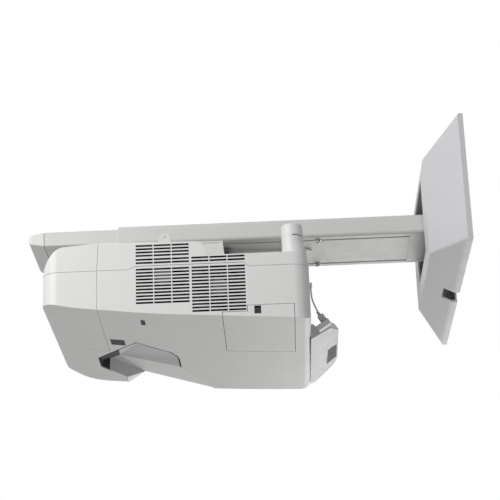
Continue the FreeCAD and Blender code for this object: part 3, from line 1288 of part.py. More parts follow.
def make_strain_relief():
    cone = Part.makeCone(3.0, 2.1, RELIEF_TOP - PLUG_TOP, module_point(PLUG_U, PLUG_Y, PLUG_TOP), MODULE_UP)
    return cone.cut(make_lead())


GROMMET_Z = -101.0
LEAD_END_T = 25.0


def lead_points():
    end = module_point(PLUG_U, PLUG_Y, LEAD_END_T)
    start = V(CASE_X1 + 2.8, -75.0, GROMMET_Z)
    return [start, V(CASE_X1 + 3.2, -75.4, -119.0), V(CASE_X1 + 6.4, -77.0, -134.0), end]


def round_path(points):
    """Straight runs joined by tangent arcs, each as wide as its shorter neighbour allows."""
    edges = []
    radii = []
    last = points[0]
    for i in range(1, len(points) - 1):
        a = points[i - 1] - points[i]
        b = points[i + 1] - points[i]
        run = min(a.Length, b.Length) * 0.45
        a.normalize()
        b.normalize()
        half_turn = (math.pi - a.getAngle(b)) / 2
        radius = run / math.tan(half_turn)
        p = points[i] + a * run
        q = points[i] + b * run
        inward = (a + b).normalize()
        middle = points[i] + inward * (radius / math.cos(half_turn) - radius)
        edges.append(Part.LineSegment(last, p).toShape())
        edges.append(Part.Arc(p, middle, q).toShape())
        radii.append(round(radius, 1))
        last = q
    edges.append(Part.LineSegment(last, points[-1]).toShape())
    print("lead radii", radii)
    return Part.Wire(edges)


def make_lead():
    path = round_path(lead_points())
    start = lead_points()[0]
    direction = lead_points()[1] - start
    profile = Part.Wire(Part.makeCircle(LEAD_R, start, direction))
    return path.makePipeShell([profile], True, False)


def make_grommet():
    body = box(CASE_X1, CASE_X1 + 5.6, -79.0, -71.0, GROMMET_Z - 5.0, GROMMET_Z + 3.0)
    body = body.makeFillet(1.5, [e for e in body.Edges if e.BoundBox.XMin > CASE_X1 + 5.5])
    return body.cut(make_lead())


def main():
    os.makedirs("parts", exist_ok=True)
    save("wall_plate", make_wall_plate())
    save("plate_cover", make_cover())
    save("cover_screws", make_cover_screws())
    save("arm_root_bracket", make_root_bracket())
    save("root_bolts", make_root_bolts())
    save("arm_bolts", make_arm_bolts())
    save("arm_tube", make_arm_tube())
    save("arm_extension", make_extension())
    save("end_cap", make_end_cap())
    save("clamp_bars", make_clamp_bars())
    save("lock_washers", make_lock_washers())
    save("lock_screws", make_lock_screws())
    save("slide_plate", make_slide_plate())
    save("hanger_screws", make_hanger_screws())
    save("swivel_pin", make_swivel_pin())
    save("swivel_lock_screws", make_swivel_locks())
    save("swivel_bracket", make_swivel_bracket())
    save("tilt_ring", make_tilt_ring())
    save("roll_bolts", make_roll_bolts())
    save("pitch_bolts", make_pitch_bolts())
    save("adapter_plate", make_adapter_plate())
    save("adapter_screws", make_adapter_screws())
    save("upper_shell", make_upper_shell())
    save("lower_shell", make_lower_shell())
    save("cable_cover", make_cable_cover())
    save("end_panel", make_end_panel())
    save("recess_liner", make_recess_liner())
    save("window_glass", glass_slab())
    save("sensor_window", SHELL.common(sensor_zone()))
    save("remote_receiver", SHELL.common(receiver_zone()))
    save("lamp_door", make_door())
    save("door_hinge_pin", make_hinge_pin())
    save("door_latch", make_latch())
    save("chassis", make_chassis())
    save("case_screws", make_case_screws())
    save("main_board", make_board(MAIN_BOARD, MAIN_CHIPS))
    save("power_board", make_board(POWER_BOARD, POWER_CHIPS))
    save("optical_engine", make_engine())
    save("lens_barrel", make_lens_barrel())
    save("mirror", make_mirror())
    save("mirror_bracket", make_mirror_bracket())
    save("lamp_unit", make_lamp_unit())
    save("air_filter", make_air_filter())
    for (x, z), name in zip(FAN_CENTRES, ("a", "b")):
        save("fan_frame_" + name, make_fan_frame(x, z))
        save("fan_rotor_" + name, make_fan_rotor(x, z))
    for side, name in ((-1, "near"), (1, "far")):
        save("foot_stem_" + name, make_foot_stem(side))
        save("foot_cap_" + name, make_foot_cap(side))
    save("module_housing", make_module_housing())
    save("module_window", make_module_window())
    save("module_board", make_module_board())
    save("module_back", make_module_back())
    save("module_socket", make_socket())
    save("plug", make_plug())
    save("strain_relief", make_strain_relief())
    save("lead", make_lead())
    save("grommet", make_grommet())


main()
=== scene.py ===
import json
import math

import bmesh
import bpy
from mathutils import Matrix, Vector

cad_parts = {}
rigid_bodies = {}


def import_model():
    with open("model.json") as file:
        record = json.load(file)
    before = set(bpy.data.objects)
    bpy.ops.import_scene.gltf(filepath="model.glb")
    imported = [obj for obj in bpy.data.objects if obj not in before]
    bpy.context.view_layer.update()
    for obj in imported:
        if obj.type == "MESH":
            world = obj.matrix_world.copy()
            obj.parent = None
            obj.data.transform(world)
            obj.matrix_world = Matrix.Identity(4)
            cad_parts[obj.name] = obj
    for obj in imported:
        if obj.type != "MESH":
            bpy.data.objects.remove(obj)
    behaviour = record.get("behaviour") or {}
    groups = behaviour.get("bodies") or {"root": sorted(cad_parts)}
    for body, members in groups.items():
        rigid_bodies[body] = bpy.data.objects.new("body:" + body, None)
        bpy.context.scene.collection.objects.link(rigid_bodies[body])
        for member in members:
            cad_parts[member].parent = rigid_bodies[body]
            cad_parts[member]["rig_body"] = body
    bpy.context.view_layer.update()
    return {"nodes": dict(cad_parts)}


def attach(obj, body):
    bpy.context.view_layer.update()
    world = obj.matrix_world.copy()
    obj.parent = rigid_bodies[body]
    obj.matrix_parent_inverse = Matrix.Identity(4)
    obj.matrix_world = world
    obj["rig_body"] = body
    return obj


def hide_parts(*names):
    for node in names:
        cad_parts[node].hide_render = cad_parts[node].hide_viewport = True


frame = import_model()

bl_info = {
    "name": "Projector wall mount",
    "version": (1, 0, 0),
    "blender": (4, 5, 0),
    "location": "3D View > Sidebar > Mount",
    "description": "Finishes a telescoping projector wall mount and the projector it carries",
    "category": "Object",
}

MM = 0.001

# Turns above which an edge stays sharp, in degrees: most pieces, the wall cover, the casing, the feet's caps
# and the recess's facets
SMOOTH_ANGLE = 32.0
COVER_ANGLE = 40.0
CASE_ANGLE = 38.0
FOOT_ANGLE = 30.0
FACET_ANGLE = 1.0

# Cleaning of a CAD mesh: what counts as one corner and as a sliver, in metres, and as flat, in degrees
SAME_CORNER = 2e-6
SLIVER = 1e-6
FLAT_ANGLE = 0.01

# Parts of the noise's range that a colour and a value are spread over
COLOUR_RANGE = (0.35, 0.65)
VALUE_RANGE = (0.3, 0.7)

# Sockets of the colour mix node
MIX_FACTOR = 0
MIX_A = 6
MIX_B = 7
MIX_RESULT = 2

# The casing's inside behind its vents, in metres: left columns, right columns, and right columns lower down;
# what lies in these boxes is painted dark as shade, so the vents look deep
VENT_SHADE_BOXES = (((-0.5215, -0.1743, -0.1660), (-0.4330, -0.1000, -0.0590)),
             ((-0.4340, -0.1743, -0.1700), (-0.3455, -0.1000, -0.0825)),
             ((-0.4340, -0.1743, -0.1775), (-0.3455, -0.1722, -0.1690)))

# Corners of the light recess, in metres
RIM_P1 = Vector((-0.6033, 0.0595, -0.1662))
RIM_P2 = Vector((-0.5663, 0.0117, -0.1694))
RIM_NEAR = Vector((-0.5332, -0.0325, -0.1730))
RIM_ARC = [Vector(p) for p in (
    (-0.5125, -0.0179, -0.1763), (-0.4970, -0.0072, -0.1785), (-0.4813, 0.0024, -0.1803),
    (-0.4726, 0.0195, -0.1816), (-0.4701, 0.0314, -0.1820))]
RIM_EAST = Vector((-0.4696, 0.0715, -0.1832))
RIM_P5 = Vector((-0.5925, 0.1156, -0.1688))
RIM_P6 = Vector((-0.6032, 0.1009, -0.1671))
RIM_FAR = Vector((-0.5650, 0.1499, -0.1730))
CEILING_NEAR = Vector((-0.5736, 0.0993, -0.1483))
CEILING_FAR = Vector((-0.5366, 0.1750, -0.1554))
WINDOW_HIGH = Vector((-0.5920, 0.1163, -0.1484))
WINDOW_LOW = Vector((-0.6020, 0.1025, -0.1560))
# Ends of the shallow strip and ramp that run from the recess to the casing's far side
STRIP_END = Vector((-0.5657, 0.1750, -0.1743))
RAMP_END = Vector((-0.4172, 0.1750, -0.1906))

# The recess's sheet, the reveal round its rim, the ledge behind it and how far the casing is cut for them;
# the notch is cut where the recess meets the far wall, and its plan is measured from CEILING_FAR
RECESS_WALL = 2.5 * MM
RECESS_REVEAL = 3.0 * MM
# The ledge is black: painted shade behind the reveal
RECESS_LEDGE = 1.5 * MM
RECESS_SKIRT = 6.0 * MM
RECESS_SEAT = 0.2 * MM
FAR_WALL_INSIDE = 0.1720
FAR_NOTCH = ((-0.0036, -0.0045), (0.0036, -0.0045), (0.0012, 0.0010), (-0.0012, 0.0010))
CARVE_LOW = -0.240
CARVE_HIGH = -0.145

# End cap: the seam before it, as in the part's source, its groove, length and middle height, in metres
CAP_SEAM = -0.6810
CAP_GROOVE = 0.0012
CAP_LENGTH = 0.0260
CAP_MIDDLE = 0.0022
CAP_TAPER = 0.36  # share of its height that the cap loses at its tip

# Sensor module, as in the part's source, and the frame round its plug, in metres
MODULE_ANGLE = math.radians(33.0)
MODULE_START = Vector((-0.2496, 0.0, -0.1920))
PLUG_U = 0.0333
PLUG_Y = -0.0790
PLUG_BASE = 0.0090
PLUG_HALF_U = 0.0051
PLUG_HALF_Y = 0.0046
COLLAR_U = 0.0066
COLLAR_Y = 0.0060
COLLAR_T = 0.0012
SOCKET_NARROWING = 0.5

# The lead's route, repeated from the part's source, in metres, and how finely it is drawn
LEAD_POINTS = ((-0.2468, -0.0750, -0.1010), (-0.2464, -0.0754, -0.1190), (-0.2432, -0.0770, -0.1340),
               (-0.235287, -0.0790, -0.152897))
LEAD_STEPS = 24
LEAD_BEVEL_STEPS = 5

# Turning feet, in metres: a cap's edge reaches down to FOOT_SEATED, but only to FOOT_LIFTED between the two
# turns of its slot, which are in degrees
FOOT_X = -0.2735
FOOT_Y = 0.1520
FOOT_R = 0.0171
FOOT_TOP = -0.0290
FOOT_ROUND = 0.0030
FOOT_BORE = 0.0073
FOOT_CEILING = -0.0374
FOOT_LIFTED = -0.0483
FOOT_SEATED = -0.0504
FOOT_SLOT = (-87.0, -20.0)
FOOT_STEPS = 96
FOOT_ROUND_STEPS = 5

# Axes of the two fans (x, z) and the radius of their hubs, in metres
FAN_AXES = {"a": (-0.4785, -0.1110), "b": (-0.3915, -0.1320)}
HUB_REACH = 15.2 * MM

# Camera fitted to the photograph: metres and radians
CAMERA_AT = Vector((-0.30096, -2.59975, -1.04205))
CAMERA_YAW = -0.0164
CAMERA_PITCH = 0.3793
CAMERA_ROLL = 0.0355
CAMERA_LENS = 119.76
SENSOR_WIDTH = 36.0

# Studio: strength of the white surroundings as light and as they are seen, half the floor's side and its
# middle in metres, and each lamp's name, place, target and size in metres, and power in watts
FILL_STRENGTH = 0.28
SEEN_STRENGTH = 1.0
FLOOR_HALF = 6.0
FLOOR_X = -0.3
LAMPS = (("key", (-1.5, -1.35, 0.6), (-0.35, 0, -0.1), (1.1, 1.1), 23),
         ("far_fill", (0.4, 1.8, -0.9), (-0.35, 0.1, -0.15), (1.6, 1.2), 14))


class MountSizes(bpy.types.PropertyGroup):
    """Sizes of the details that the finish adds to the parts."""

    module_edge: bpy.props.FloatProperty(
        name="Module edge", description="Rounding of the sensor module's edges",
        default=0.5 * MM, min=0.0, max=2 * MM, unit="LENGTH")
    metal_edge: bpy.props.FloatProperty(
        name="Sheet edge", description="Rounding of painted sheet metal edges",
        default=0.4 * MM, min=0.0, max=2 * MM, unit="LENGTH")
    small_edge: bpy.props.FloatProperty(
        name="Fastener edge", description="Rounding of fasteners and small parts",
        default=0.2 * MM, min=0.0, max=1 * MM, unit="LENGTH")
    lead_diameter: bpy.props.FloatProperty(
        name="Lead diameter", description="Outside diameter of the jumper lead",
        default=2.8 * MM, min=1 * MM, max=6 * MM, unit="LENGTH")
    floor_height: bpy.props.FloatProperty(
        name="Floor height", description="Height of the studio floor below the arm",
        default=-1.35, min=-3.0, max=-0.3, unit="LENGTH")


def linear(code):
    """An sRGB hex value such as "D8D8D6" as a linear RGBA tuple."""
    parts = [int(code[i:i + 2], 16) / 255 for i in (0, 2, 4)]
    return tuple(c / 12.92 if c <= 0.04045 else ((c + 0.055) / 1.055) ** 2.4 for c in parts) + (1.0,)


def colour_property(label, words, code):
    return bpy.props.FloatVectorProperty(name=label, description=words, default=linear(code), size=4,
                                         min=0.0, max=1.0, subtype="COLOR")


class MountColours(bpy.types.PropertyGroup):
    """Colours of the main finishes."""

    arm_coat: colour_property("Arm coat", "Powder coat of the arm's tubes", "D6D6D4")
    cover_abs: colour_property("Wall cover", "Moulded plastic of the wall cover", "D9D9DC")
    case_abs: colour_property("Casing", "Moulded plastic of the projector's casing", "E6E7E5")
    bracket_coat: colour_property("Bracket", "Powder coat of the projector bracket", "DEDEDB")
    dark_coat: colour_property("Adjuster", "Coat of the three-axis adjuster", "85868A")
    module_abs: colour_property("Module", "Moulded plastic of the sensor module", "D2D3D3")
    lead_pvc: colour_property("Lead", "Jacket of the jumper lead", "DCDCDA")


def add(tree, kind, inputs=None, **settings):
    """Adds one shader node with its settings; an input is a value or another node's output."""
    made = tree.nodes.new(kind)
    for name, value in settings.items():
        setattr(made, name, value)
    for name, value in (inputs or {}).items():
        if isinstance(value, bpy.types.NodeSocket):
            tree.links.new(value, made.inputs[name])
        else:
            made.inputs[name].default_value = value
    return made


def shade(colour, factor):
    """The colour made lighter or darker by a factor."""
    return tuple(min(1.0, c * factor) for c in colour[:3]) + (1.0,)


def start_material(name):
    """An empty material with its node tree and the piece's own coordinates."""
    made = bpy.data.materials.new(name)
    made.use_nodes = True
    tree = made.node_tree
    tree.nodes.clear()
    where = add(tree, "ShaderNodeTexCoord")
    return made, tree, where.outputs["Object"]


def end_material(tree, shader):
    """Joins the shader to the material's output."""
    add(tree, "ShaderNodeOutputMaterial", {"Surface": shader.outputs[0]})


def per_metre(cell_mm):
    """The scale of a noise whose patches are cell_mm across."""
    return 1000.0 / cell_mm


def varied(tree, where, colour, amount, cell_mm):
    """The colour with a faint cloud of lighter and darker patches about cell_mm across."""
    cloud = add(tree, "ShaderNodeTexNoise", {"Vector": where, "Scale": per_metre(cell_mm), "Detail": 3.0,
                                             "Roughness": 0.55})
    ramp = add(tree, "ShaderNodeValToRGB", {"Fac": cloud.outputs["Fac"]})
    for stop, position, factor in zip(ramp.color_ramp.elements, COLOUR_RANGE, (1 - amount, 1 + amount)):
        stop.position = position
        stop.color = shade(colour, factor)
    return ramp.outputs["Color"]


def spread(tree, where, low, high, cell_mm):
    """A value that drifts between low and high over patches about cell_mm across."""
    cloud = add(tree, "ShaderNodeTexNoise", {"Vector": where, "Scale": per_metre(cell_mm), "Detail": 2.0})
    value = add(tree, "ShaderNodeMapRange", {
        "Value": cloud.outputs["Fac"], "From Min": VALUE_RANGE[0], "From Max": VALUE_RANGE[1],
        "To Min": low, "To Max": high})
    return value.outputs["Result"]


def moulded_abs(name, colour, roughness=0.48, grain_mm=0.9, grain=0.05, amount=0.012):
    """Injection-moulded ABS from a spark-eroded mould: an even, fine, matt grain that dulls highlights.
    The real grain is about 0.1 mm; it is drawn coarser so that it shows."""
    made, tree, where = start_material(name)
    fine = add(tree, "ShaderNodeTexNoise", {"Vector": where, "Scale": per_metre(grain_mm), "Detail": 2.0,
                                            "Roughness": 0.6})
    bump = add(tree, "ShaderNodeBump", {
        "Strength": grain, "Distance": 0.1 * MM, "Height": fine.outputs["Fac"]})
    shader = add(tree, "ShaderNodeBsdfPrincipled", {
        "Base Color": varied(tree, where, colour, amount, 60.0),
        "Roughness": spread(tree, where, roughness - 0.05, roughness + 0.05, 25.0),
        "IOR": 1.53, "Normal": bump.outputs["Normal"]})
    end_material(tree, shader)
    return made


def within(tree, where, low, high):
    """One inside a box of the piece's own coordinates, in metres, and nothing outside it."""
    split = add(tree, "ShaderNodeSeparateXYZ", {"Vector": where})
    mask = None
    for axis, least, most in zip("XYZ", low, high):
        for operation, limit in (("GREATER_THAN", least), ("LESS_THAN", most)):
            test = add(tree, "ShaderNodeMath", {0: split.outputs[axis], 1: limit}, operation=operation)
            if mask is not None:
                test = add(tree, "ShaderNodeMath", {0: mask.outputs[0], 1: test.outputs[0]},
                           operation="MULTIPLY")
            mask = test
    return mask.outputs[0]


def vent_shaded_abs(name, colour, vent_shade, boxes):
    """The casing's grained ABS with painted shade behind its vents: what lies in the boxes is painted dark,
    so the vents look deep."""
    made = moulded_abs(name, colour, 0.46, 0.9, 0.06)
    tree = made.node_tree
    where = next(n for n in tree.nodes if n.bl_idname == "ShaderNodeTexCoord").outputs["Object"]
    shader = next(n for n in tree.nodes if n.bl_idname == "ShaderNodeBsdfPrincipled")
    outside = shader.inputs["Base Color"].links[0].from_socket
    # Paints the shade into each box behind the vents
    for low, high in boxes:
        mixed = add(tree, "ShaderNodeMix", {MIX_FACTOR: within(tree, where, low, high), MIX_A: outside,
                                            MIX_B: vent_shade}, data_type="RGBA")
        outside = mixed.outputs[MIX_RESULT]
    tree.links.new(outside, shader.inputs["Base Color"])
    return made


def powder_coat(name, colour, roughness=0.42, peel_mm=1.6, peel=0.12):
    """Polyester powder coat baked on steel: satin, with a slight orange peel.
    Real peel is about 1 mm from crest to crest; it is drawn a little coarser so that it shows."""
    made, tree, where = start_material(name)
    skin = add(tree, "ShaderNodeTexNoise", {"Vector": where, "Scale": per_metre(peel_mm), "Detail": 1.0})
    bump = add(tree, "ShaderNodeBump", {
        "Strength": peel, "Distance": 0.1 * MM, "Height": skin.outputs["Fac"]})
    shader = add(tree, "ShaderNodeBsdfPrincipled", {
        "Base Color": varied(tree, where, colour, 0.01, 90.0),
        "Roughness": spread(tree, where, roughness - 0.04, roughness + 0.06, 18.0),
        "IOR": 1.5, "Normal": bump.outputs["Normal"]})
    end_material(tree, shader)
    return made


def zinc_plate(name, colour, roughness=0.34):
    """Zinc-plated steel: a silvery metal with cloudy patches and fine rolled streaks along X."""
    made, tree, where = start_material(name)
    drawn = add(tree, "ShaderNodeMapping", {"Vector": where, "Scale": (60.0, 900.0, 900.0)})
    streak = add(tree, "ShaderNodeTexNoise", {"Vector": drawn.outputs["Vector"], "Scale": 1.0, "Detail": 3.0})
    bump = add(tree, "ShaderNodeBump", {
        "Strength": 0.08, "Distance": 0.05 * MM, "Height": streak.outputs["Fac"]})
    shader = add(tree, "ShaderNodeBsdfPrincipled", {
        "Base Color": varied(tree, where, colour, 0.06, 7.0), "Metallic": 1.0,
        "Roughness": spread(tree, where, roughness - 0.08, roughness + 0.1, 5.0),
        "Normal": bump.outputs["Normal"]})
    end_material(tree, shader)
    return made


def smoked_acrylic(name, colour, roughness=0.3):
    """Acrylic with a dark tint and an anti-glare etch: a soft low sheen with faint wipe marks."""
    made, tree, where = start_material(name)
    shader = add(tree, "ShaderNodeBsdfPrincipled", {
        "Base Color": varied(tree, where, colour, 0.05, 12.0), "Specular IOR Level": 0.03,
        "Roughness": spread(tree, where, roughness - 0.04, roughness + 0.08, 9.0), "IOR": 1.49})
    end_material(tree, shader)
    return made


def coated_glass(name, colour):
    """The projection window: flat float glass with a dark anti-glare coat."""
    made, tree, where = start_material(name)
    shader = add(tree, "ShaderNodeBsdfPrincipled", {
        "Base Color": varied(tree, where, colour, 0.04, 15.0),
        "Roughness": spread(tree, where, 0.12, 0.2, 10.0), "IOR": 1.52, "Specular IOR Level": 0.15})
    end_material(tree, shader)
    return made


def polished_mirror(name, colour):
    """Front-silvered optical mirror: bright, almost without scatter."""
    made, tree, where = start_material(name)
    shader = add(tree, "ShaderNodeBsdfPrincipled", {
        "Base Color": varied(tree, where, colour, 0.01, 20.0), "Metallic": 1.0,
        "Roughness": spread(tree, where, 0.03, 0.06, 12.0)})
    end_material(tree, shader)
    return made


def cast_alloy(name, colour):
    """Die-cast magnesium, blackened: a dull skin with a sandy grain about 0.6 mm across."""
    made, tree, where = start_material(name)
    sand = add(tree, "ShaderNodeTexNoise", {"Vector": where, "Scale": per_metre(0.625), "Detail": 4.0})
    bump = add(tree, "ShaderNodeBump", {
        "Strength": 0.3, "Distance": 0.2 * MM, "Height": sand.outputs["Fac"]})
    shader = add(tree, "ShaderNodeBsdfPrincipled", {
        "Base Color": varied(tree, where, colour, 0.08, 14.0), "Metallic": 0.6,
        "Roughness": spread(tree, where, 0.5, 0.65, 8.0), "Normal": bump.outputs["Normal"]})
    end_material(tree, shader)
    return made


def circuit_board(name, colour, mask):
    """Glass-epoxy board under green solder mask, with copper tracks about 3 mm apart showing through."""
    made, tree, where = start_material(name)
    cells = add(tree, "ShaderNodeTexBrick", {"Vector": where, "Scale": 90.0, "Color1": mask, "Color2": colour,
                                             "Mortar": shade(mask, 1.7), "Mortar Size": 0.02})
    shader = add(tree, "ShaderNodeBsdfPrincipled", {
        "Base Color": cells.outputs["Color"], "Roughness": spread(tree, where, 0.25, 0.4, 6.0), "IOR": 1.55})
    end_material(tree, shader)
    return made


def filter_fleece(name, colour):
    """Non-woven filter fleece: matt fibres about 0.5 mm apart in no direction."""
    made, tree, where = start_material(name)
    fibres = add(tree, "ShaderNodeTexVoronoi", {"Vector": where, "Scale": per_metre(0.5)})
    bump = add(tree, "ShaderNodeBump", {
        "Strength": 0.6, "Distance": 0.4 * MM, "Height": fibres.outputs["Distance"]})
    shader = add(tree, "ShaderNodeBsdfPrincipled", {
        "Base Color": varied(tree, where, colour, 0.15, 6.0), "Sheen Weight": 0.3,
        "Roughness": spread(tree, where, 0.85, 0.95, 6.0), "Normal": bump.outputs["Normal"]})
    end_material(tree, shader)
    return made


def soft_pvc(name, colour):
    """Extruded PVC jacket: smooth satin skin with an unevenness from the extruder, about 4 mm long."""
    made, tree, where = start_material(name)
    wave = add(tree, "ShaderNodeTexNoise", {"Vector": where, "Scale": 260.0, "Detail": 1.0})
    bump = add(tree, "ShaderNodeBump", {
        "Strength": 0.15, "Distance": 0.1 * MM, "Height": wave.outputs["Fac"]})
    shader = add(tree, "ShaderNodeBsdfPrincipled", {
        "Base Color": varied(tree, where, colour, 0.02, 10.0),
        "Roughness": spread(tree, where, 0.38, 0.5, 8.0), "IOR": 1.53, "Normal": bump.outputs["Normal"]})
    end_material(tree, shader)
    return made


FINISHES = {}


def finish(name):
    """A finish by name, made once."""
    if name not in FINISHES:
        tones = bpy.context.scene.mount_colours
        recipes = {
            "arm_powder_coat": lambda n: powder_coat(n, tuple(tones.arm_coat)),
            "cap_abs": lambda n: moulded_abs(n, linear("E2E2E0"), 0.5),
            "wall_cover_abs": lambda n: moulded_abs(n, tuple(tones.cover_abs), 0.5, 1.1, 0.05),
            # The casing's plastic, painted dark as shade inside the boxes behind its vents
            "case_abs": lambda n: vent_shaded_abs(n, tuple(tones.case_abs), linear("17181A"), VENT_SHADE_BOXES),
            "bracket_powder_coat": lambda n: powder_coat(n, tuple(tones.bracket_coat)),
            "adjuster_dark_coat": lambda n: powder_coat(n, tuple(tones.dark_coat), 0.5, 1.4, 0.2),
            "zinc_plated_steel": lambda n: zinc_plate(n, linear("B9B7B1")),
            "black_glass_filled_abs": lambda n: moulded_abs(n, linear("1E1E20"), 0.55, 0.8, 0.12, 0.05),
            "fan_hub_abs": lambda n: moulded_abs(n, linear("A9A9A8"), 0.42, 0.8, 0.06, 0.03),
            "fan_blade_abs": lambda n: moulded_abs(n, linear("2A2B2D"), 0.4, 0.8, 0.06, 0.05),
            "smoked_acrylic": lambda n: smoked_acrylic(n, linear("2B2C2E")),
            "sensor_window_acrylic": lambda n: smoked_acrylic(n, linear("57595B")),
            "projection_window_glass": lambda n: coated_glass(n, linear("1A1C1D")),
            "front_silvered_mirror": lambda n: polished_mirror(n, linear("DDE0E2")),
            "die_cast_magnesium": lambda n: cast_alloy(n, linear("4A4B4C")),
            "circuit_board_epoxy": lambda n: circuit_board(n, linear("175232"), linear("10432A")),
            "filter_fleece": lambda n: filter_fleece(n, linear("55575A")),
            "lamp_housing_pps": lambda n: moulded_abs(n, linear("2B2A29"), 0.6, 1.0, 0.15, 0.06),
            "module_abs": lambda n: moulded_abs(n, tuple(tones.module_abs), 0.45, 0.9, 0.05),
            "plug_nylon": lambda n: moulded_abs(n, linear("BDBCBB"), 0.42, 0.8, 0.05, 0.02),
            "lead_pvc": lambda n: soft_pvc(n, tuple(tones.lead_pvc)),
            # Black painted as deep shade in the recess's band and on the ledge behind the rim's gap
            "recess_shade_black": lambda n: moulded_abs(n, linear("141516"), 0.7, 1.0, 0.1, 0.05),
            # Grey painted as shade on the recess's facets that face away from the light; the plastic is the
            # casing's own
            "recess_shade_grey_abs": lambda n: moulded_abs(n, linear("C4C5C4"), 0.5, 0.9, 0.06),
        }
        FINISHES[name] = recipes[name](name)
    return FINISHES[name]


def body_of_node(node):
    """The body that a CAD node belongs to."""
    return frame["nodes"][node]["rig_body"]


def merged_copy(node):
    """The CAD node's mesh with its loose triangles joined and flat areas made single faces."""
    work = bmesh.new()
    work.from_mesh(frame["nodes"][node].data)
    bmesh.ops.remove_doubles(work, verts=work.verts, dist=SAME_CORNER)
    bmesh.ops.dissolve_degenerate(work, edges=work.edges, dist=SLIVER)
    bmesh.ops.dissolve_limit(work, angle_limit=math.radians(FLAT_ANGLE), verts=work.verts, edges=work.edges)
    return work


def sharpen(work, angle):
    """Smooth faces, with every edge turning more than the angle kept sharp."""
    for face in work.faces:
        face.smooth = True
    for edge in work.edges:
        edge.smooth = edge.is_manifold and edge.calc_face_angle() < math.radians(angle)


def place(work, name, body, materials, angle=SMOOTH_ANGLE):
    """Makes an object of the bmesh that rides on a body, shaded smooth except at its sharp edges."""
    mesh = bpy.data.meshes.new(name)
    sharpen(work, angle)
    work.to_mesh(mesh)
    work.free()
    made = bpy.data.objects.new(name, mesh)
    bpy.context.scene.collection.objects.link(made)
    for each in materials:
        mesh.materials.append(each)
    even = made.modifiers.new("even", "WEIGHTED_NORMAL")
    even.keep_sharp = True
    even.weight = 100
    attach(made, body)
    return made


def round_edges(made, width, angle):
    """Takes the sharp look off the edges, as tooling does."""
    bevel = made.modifiers.new("edge", "BEVEL")
    bevel.width = width
    bevel.segments = 2
    bevel.limit_method = "ANGLE"
    bevel.angle_limit = math.radians(angle)
    bevel.use_clamp_overlap = True
    made.modifiers.move(made.modifiers.find("edge"), 0)


def dress(node, materials, edge=0.0, angle=SMOOTH_ANGLE, choose=None):
    """A finished piece in place of a CAD node; choose gives the place of a face's material in the list."""
    work = merged_copy(node)
    if choose:
        for face in work.faces:
            face.material_index = choose(face)
    names = (materials,) if isinstance(materials, str) else materials
    made = place(work, node + "_finished", body_of_node(node), [finish(name) for name in names], angle)
    if edge > 0:
        round_edges(made, edge, angle)
    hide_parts(node)
    return made


class MOUNT_OT_wall_cover(bpy.types.Operator):
    """Finish the wall plate, its cover and the arm's root"""
    bl_idname = "mount.wall_cover"
    bl_label = "Wall cover"

    def execute(self, context):
        sizes = context.scene.mount_sizes
        dress("wall_plate", "zinc_plated_steel", sizes.metal_edge)
        dress("plate_cover", "wall_cover_abs", angle=COVER_ANGLE)
        dress("cover_screws", "zinc_plated_steel", sizes.small_edge)
        dress("arm_root_bracket", "adjuster_dark_coat", sizes.metal_edge)
        dress("root_bolts", "zinc_plated_steel", sizes.small_edge)
        dress("arm_bolts", "zinc_plated_steel", sizes.small_edge)
        return {"FINISHED"}


def shape_cap(made):
    """Opens the seam before the end cap and tapers the cap towards its tip."""
    for vertex in made.data.vertices:
        point = vertex.co
        if abs(point.x - CAP_SEAM) < CAP_GROOVE / 4:
            point.x -= CAP_GROOVE
        if point.x < CAP_SEAM:
            share = (CAP_SEAM - point.x) / CAP_LENGTH
            point.z = CAP_MIDDLE + (point.z - CAP_MIDDLE) * (1.0 - CAP_TAPER * share)


class MOUNT_OT_arm(bpy.types.Operator):
    """Finish the telescoping arm"""
    bl_idname = "mount.arm"
    bl_label = "Arm"

    def execute(self, context):
        sizes = context.scene.mount_sizes
        dress("arm_tube", "arm_powder_coat", sizes.metal_edge)
        dress("arm_extension", "arm_powder_coat", sizes.metal_edge)
        shape_cap(dress("end_cap", "cap_abs", sizes.small_edge))
        return {"FINISHED"}


class MOUNT_OT_carriage(bpy.types.Operator):
    """Finish the sliding carriage under the arm"""
    bl_idname = "mount.carriage"
    bl_label = "Carriage"

    def execute(self, context):
        sizes = context.scene.mount_sizes
        dress("slide_plate", "bracket_powder_coat", sizes.metal_edge)
        for node in ("clamp_bars", "lock_washers", "lock_screws", "hanger_screws", "swivel_pin",
                     "swivel_lock_screws"):
            dress(node, "zinc_plated_steel", sizes.small_edge)
        return {"FINISHED"}


class MOUNT_OT_adjuster(bpy.types.Operator):
    """Finish the three-axis adjuster"""
    bl_idname = "mount.adjuster"
    bl_label = "Adjuster"

    def execute(self, context):
        sizes = context.scene.mount_sizes
        for node in ("swivel_bracket", "tilt_ring"):
            dress(node, "adjuster_dark_coat", sizes.metal_edge)
        for node in ("roll_bolts", "pitch_bolts"):
            dress(node, "zinc_plated_steel", sizes.small_edge)
        return {"FINISHED"}


class MOUNT_OT_bracket(bpy.types.Operator):
    """Finish the projector bracket"""
    bl_idname = "mount.bracket"
    bl_label = "Projector bracket"

    def execute(self, context):
        sizes = context.scene.mount_sizes
        dress("adapter_plate", "bracket_powder_coat", sizes.metal_edge)
        dress("adapter_screws", "zinc_plated_steel", sizes.small_edge)
        return {"FINISHED"}


class MOUNT_OT_casing(bpy.types.Operator):
    """Finish the projector's casing"""
    bl_idname = "mount.casing"
    bl_label = "Casing"

    def execute(self, context):
        for node in ("upper_shell", "lower_shell", "cable_cover", "end_panel"):
            dress(node, "case_abs", angle=CASE_ANGLE)
        return {"FINISHED"}


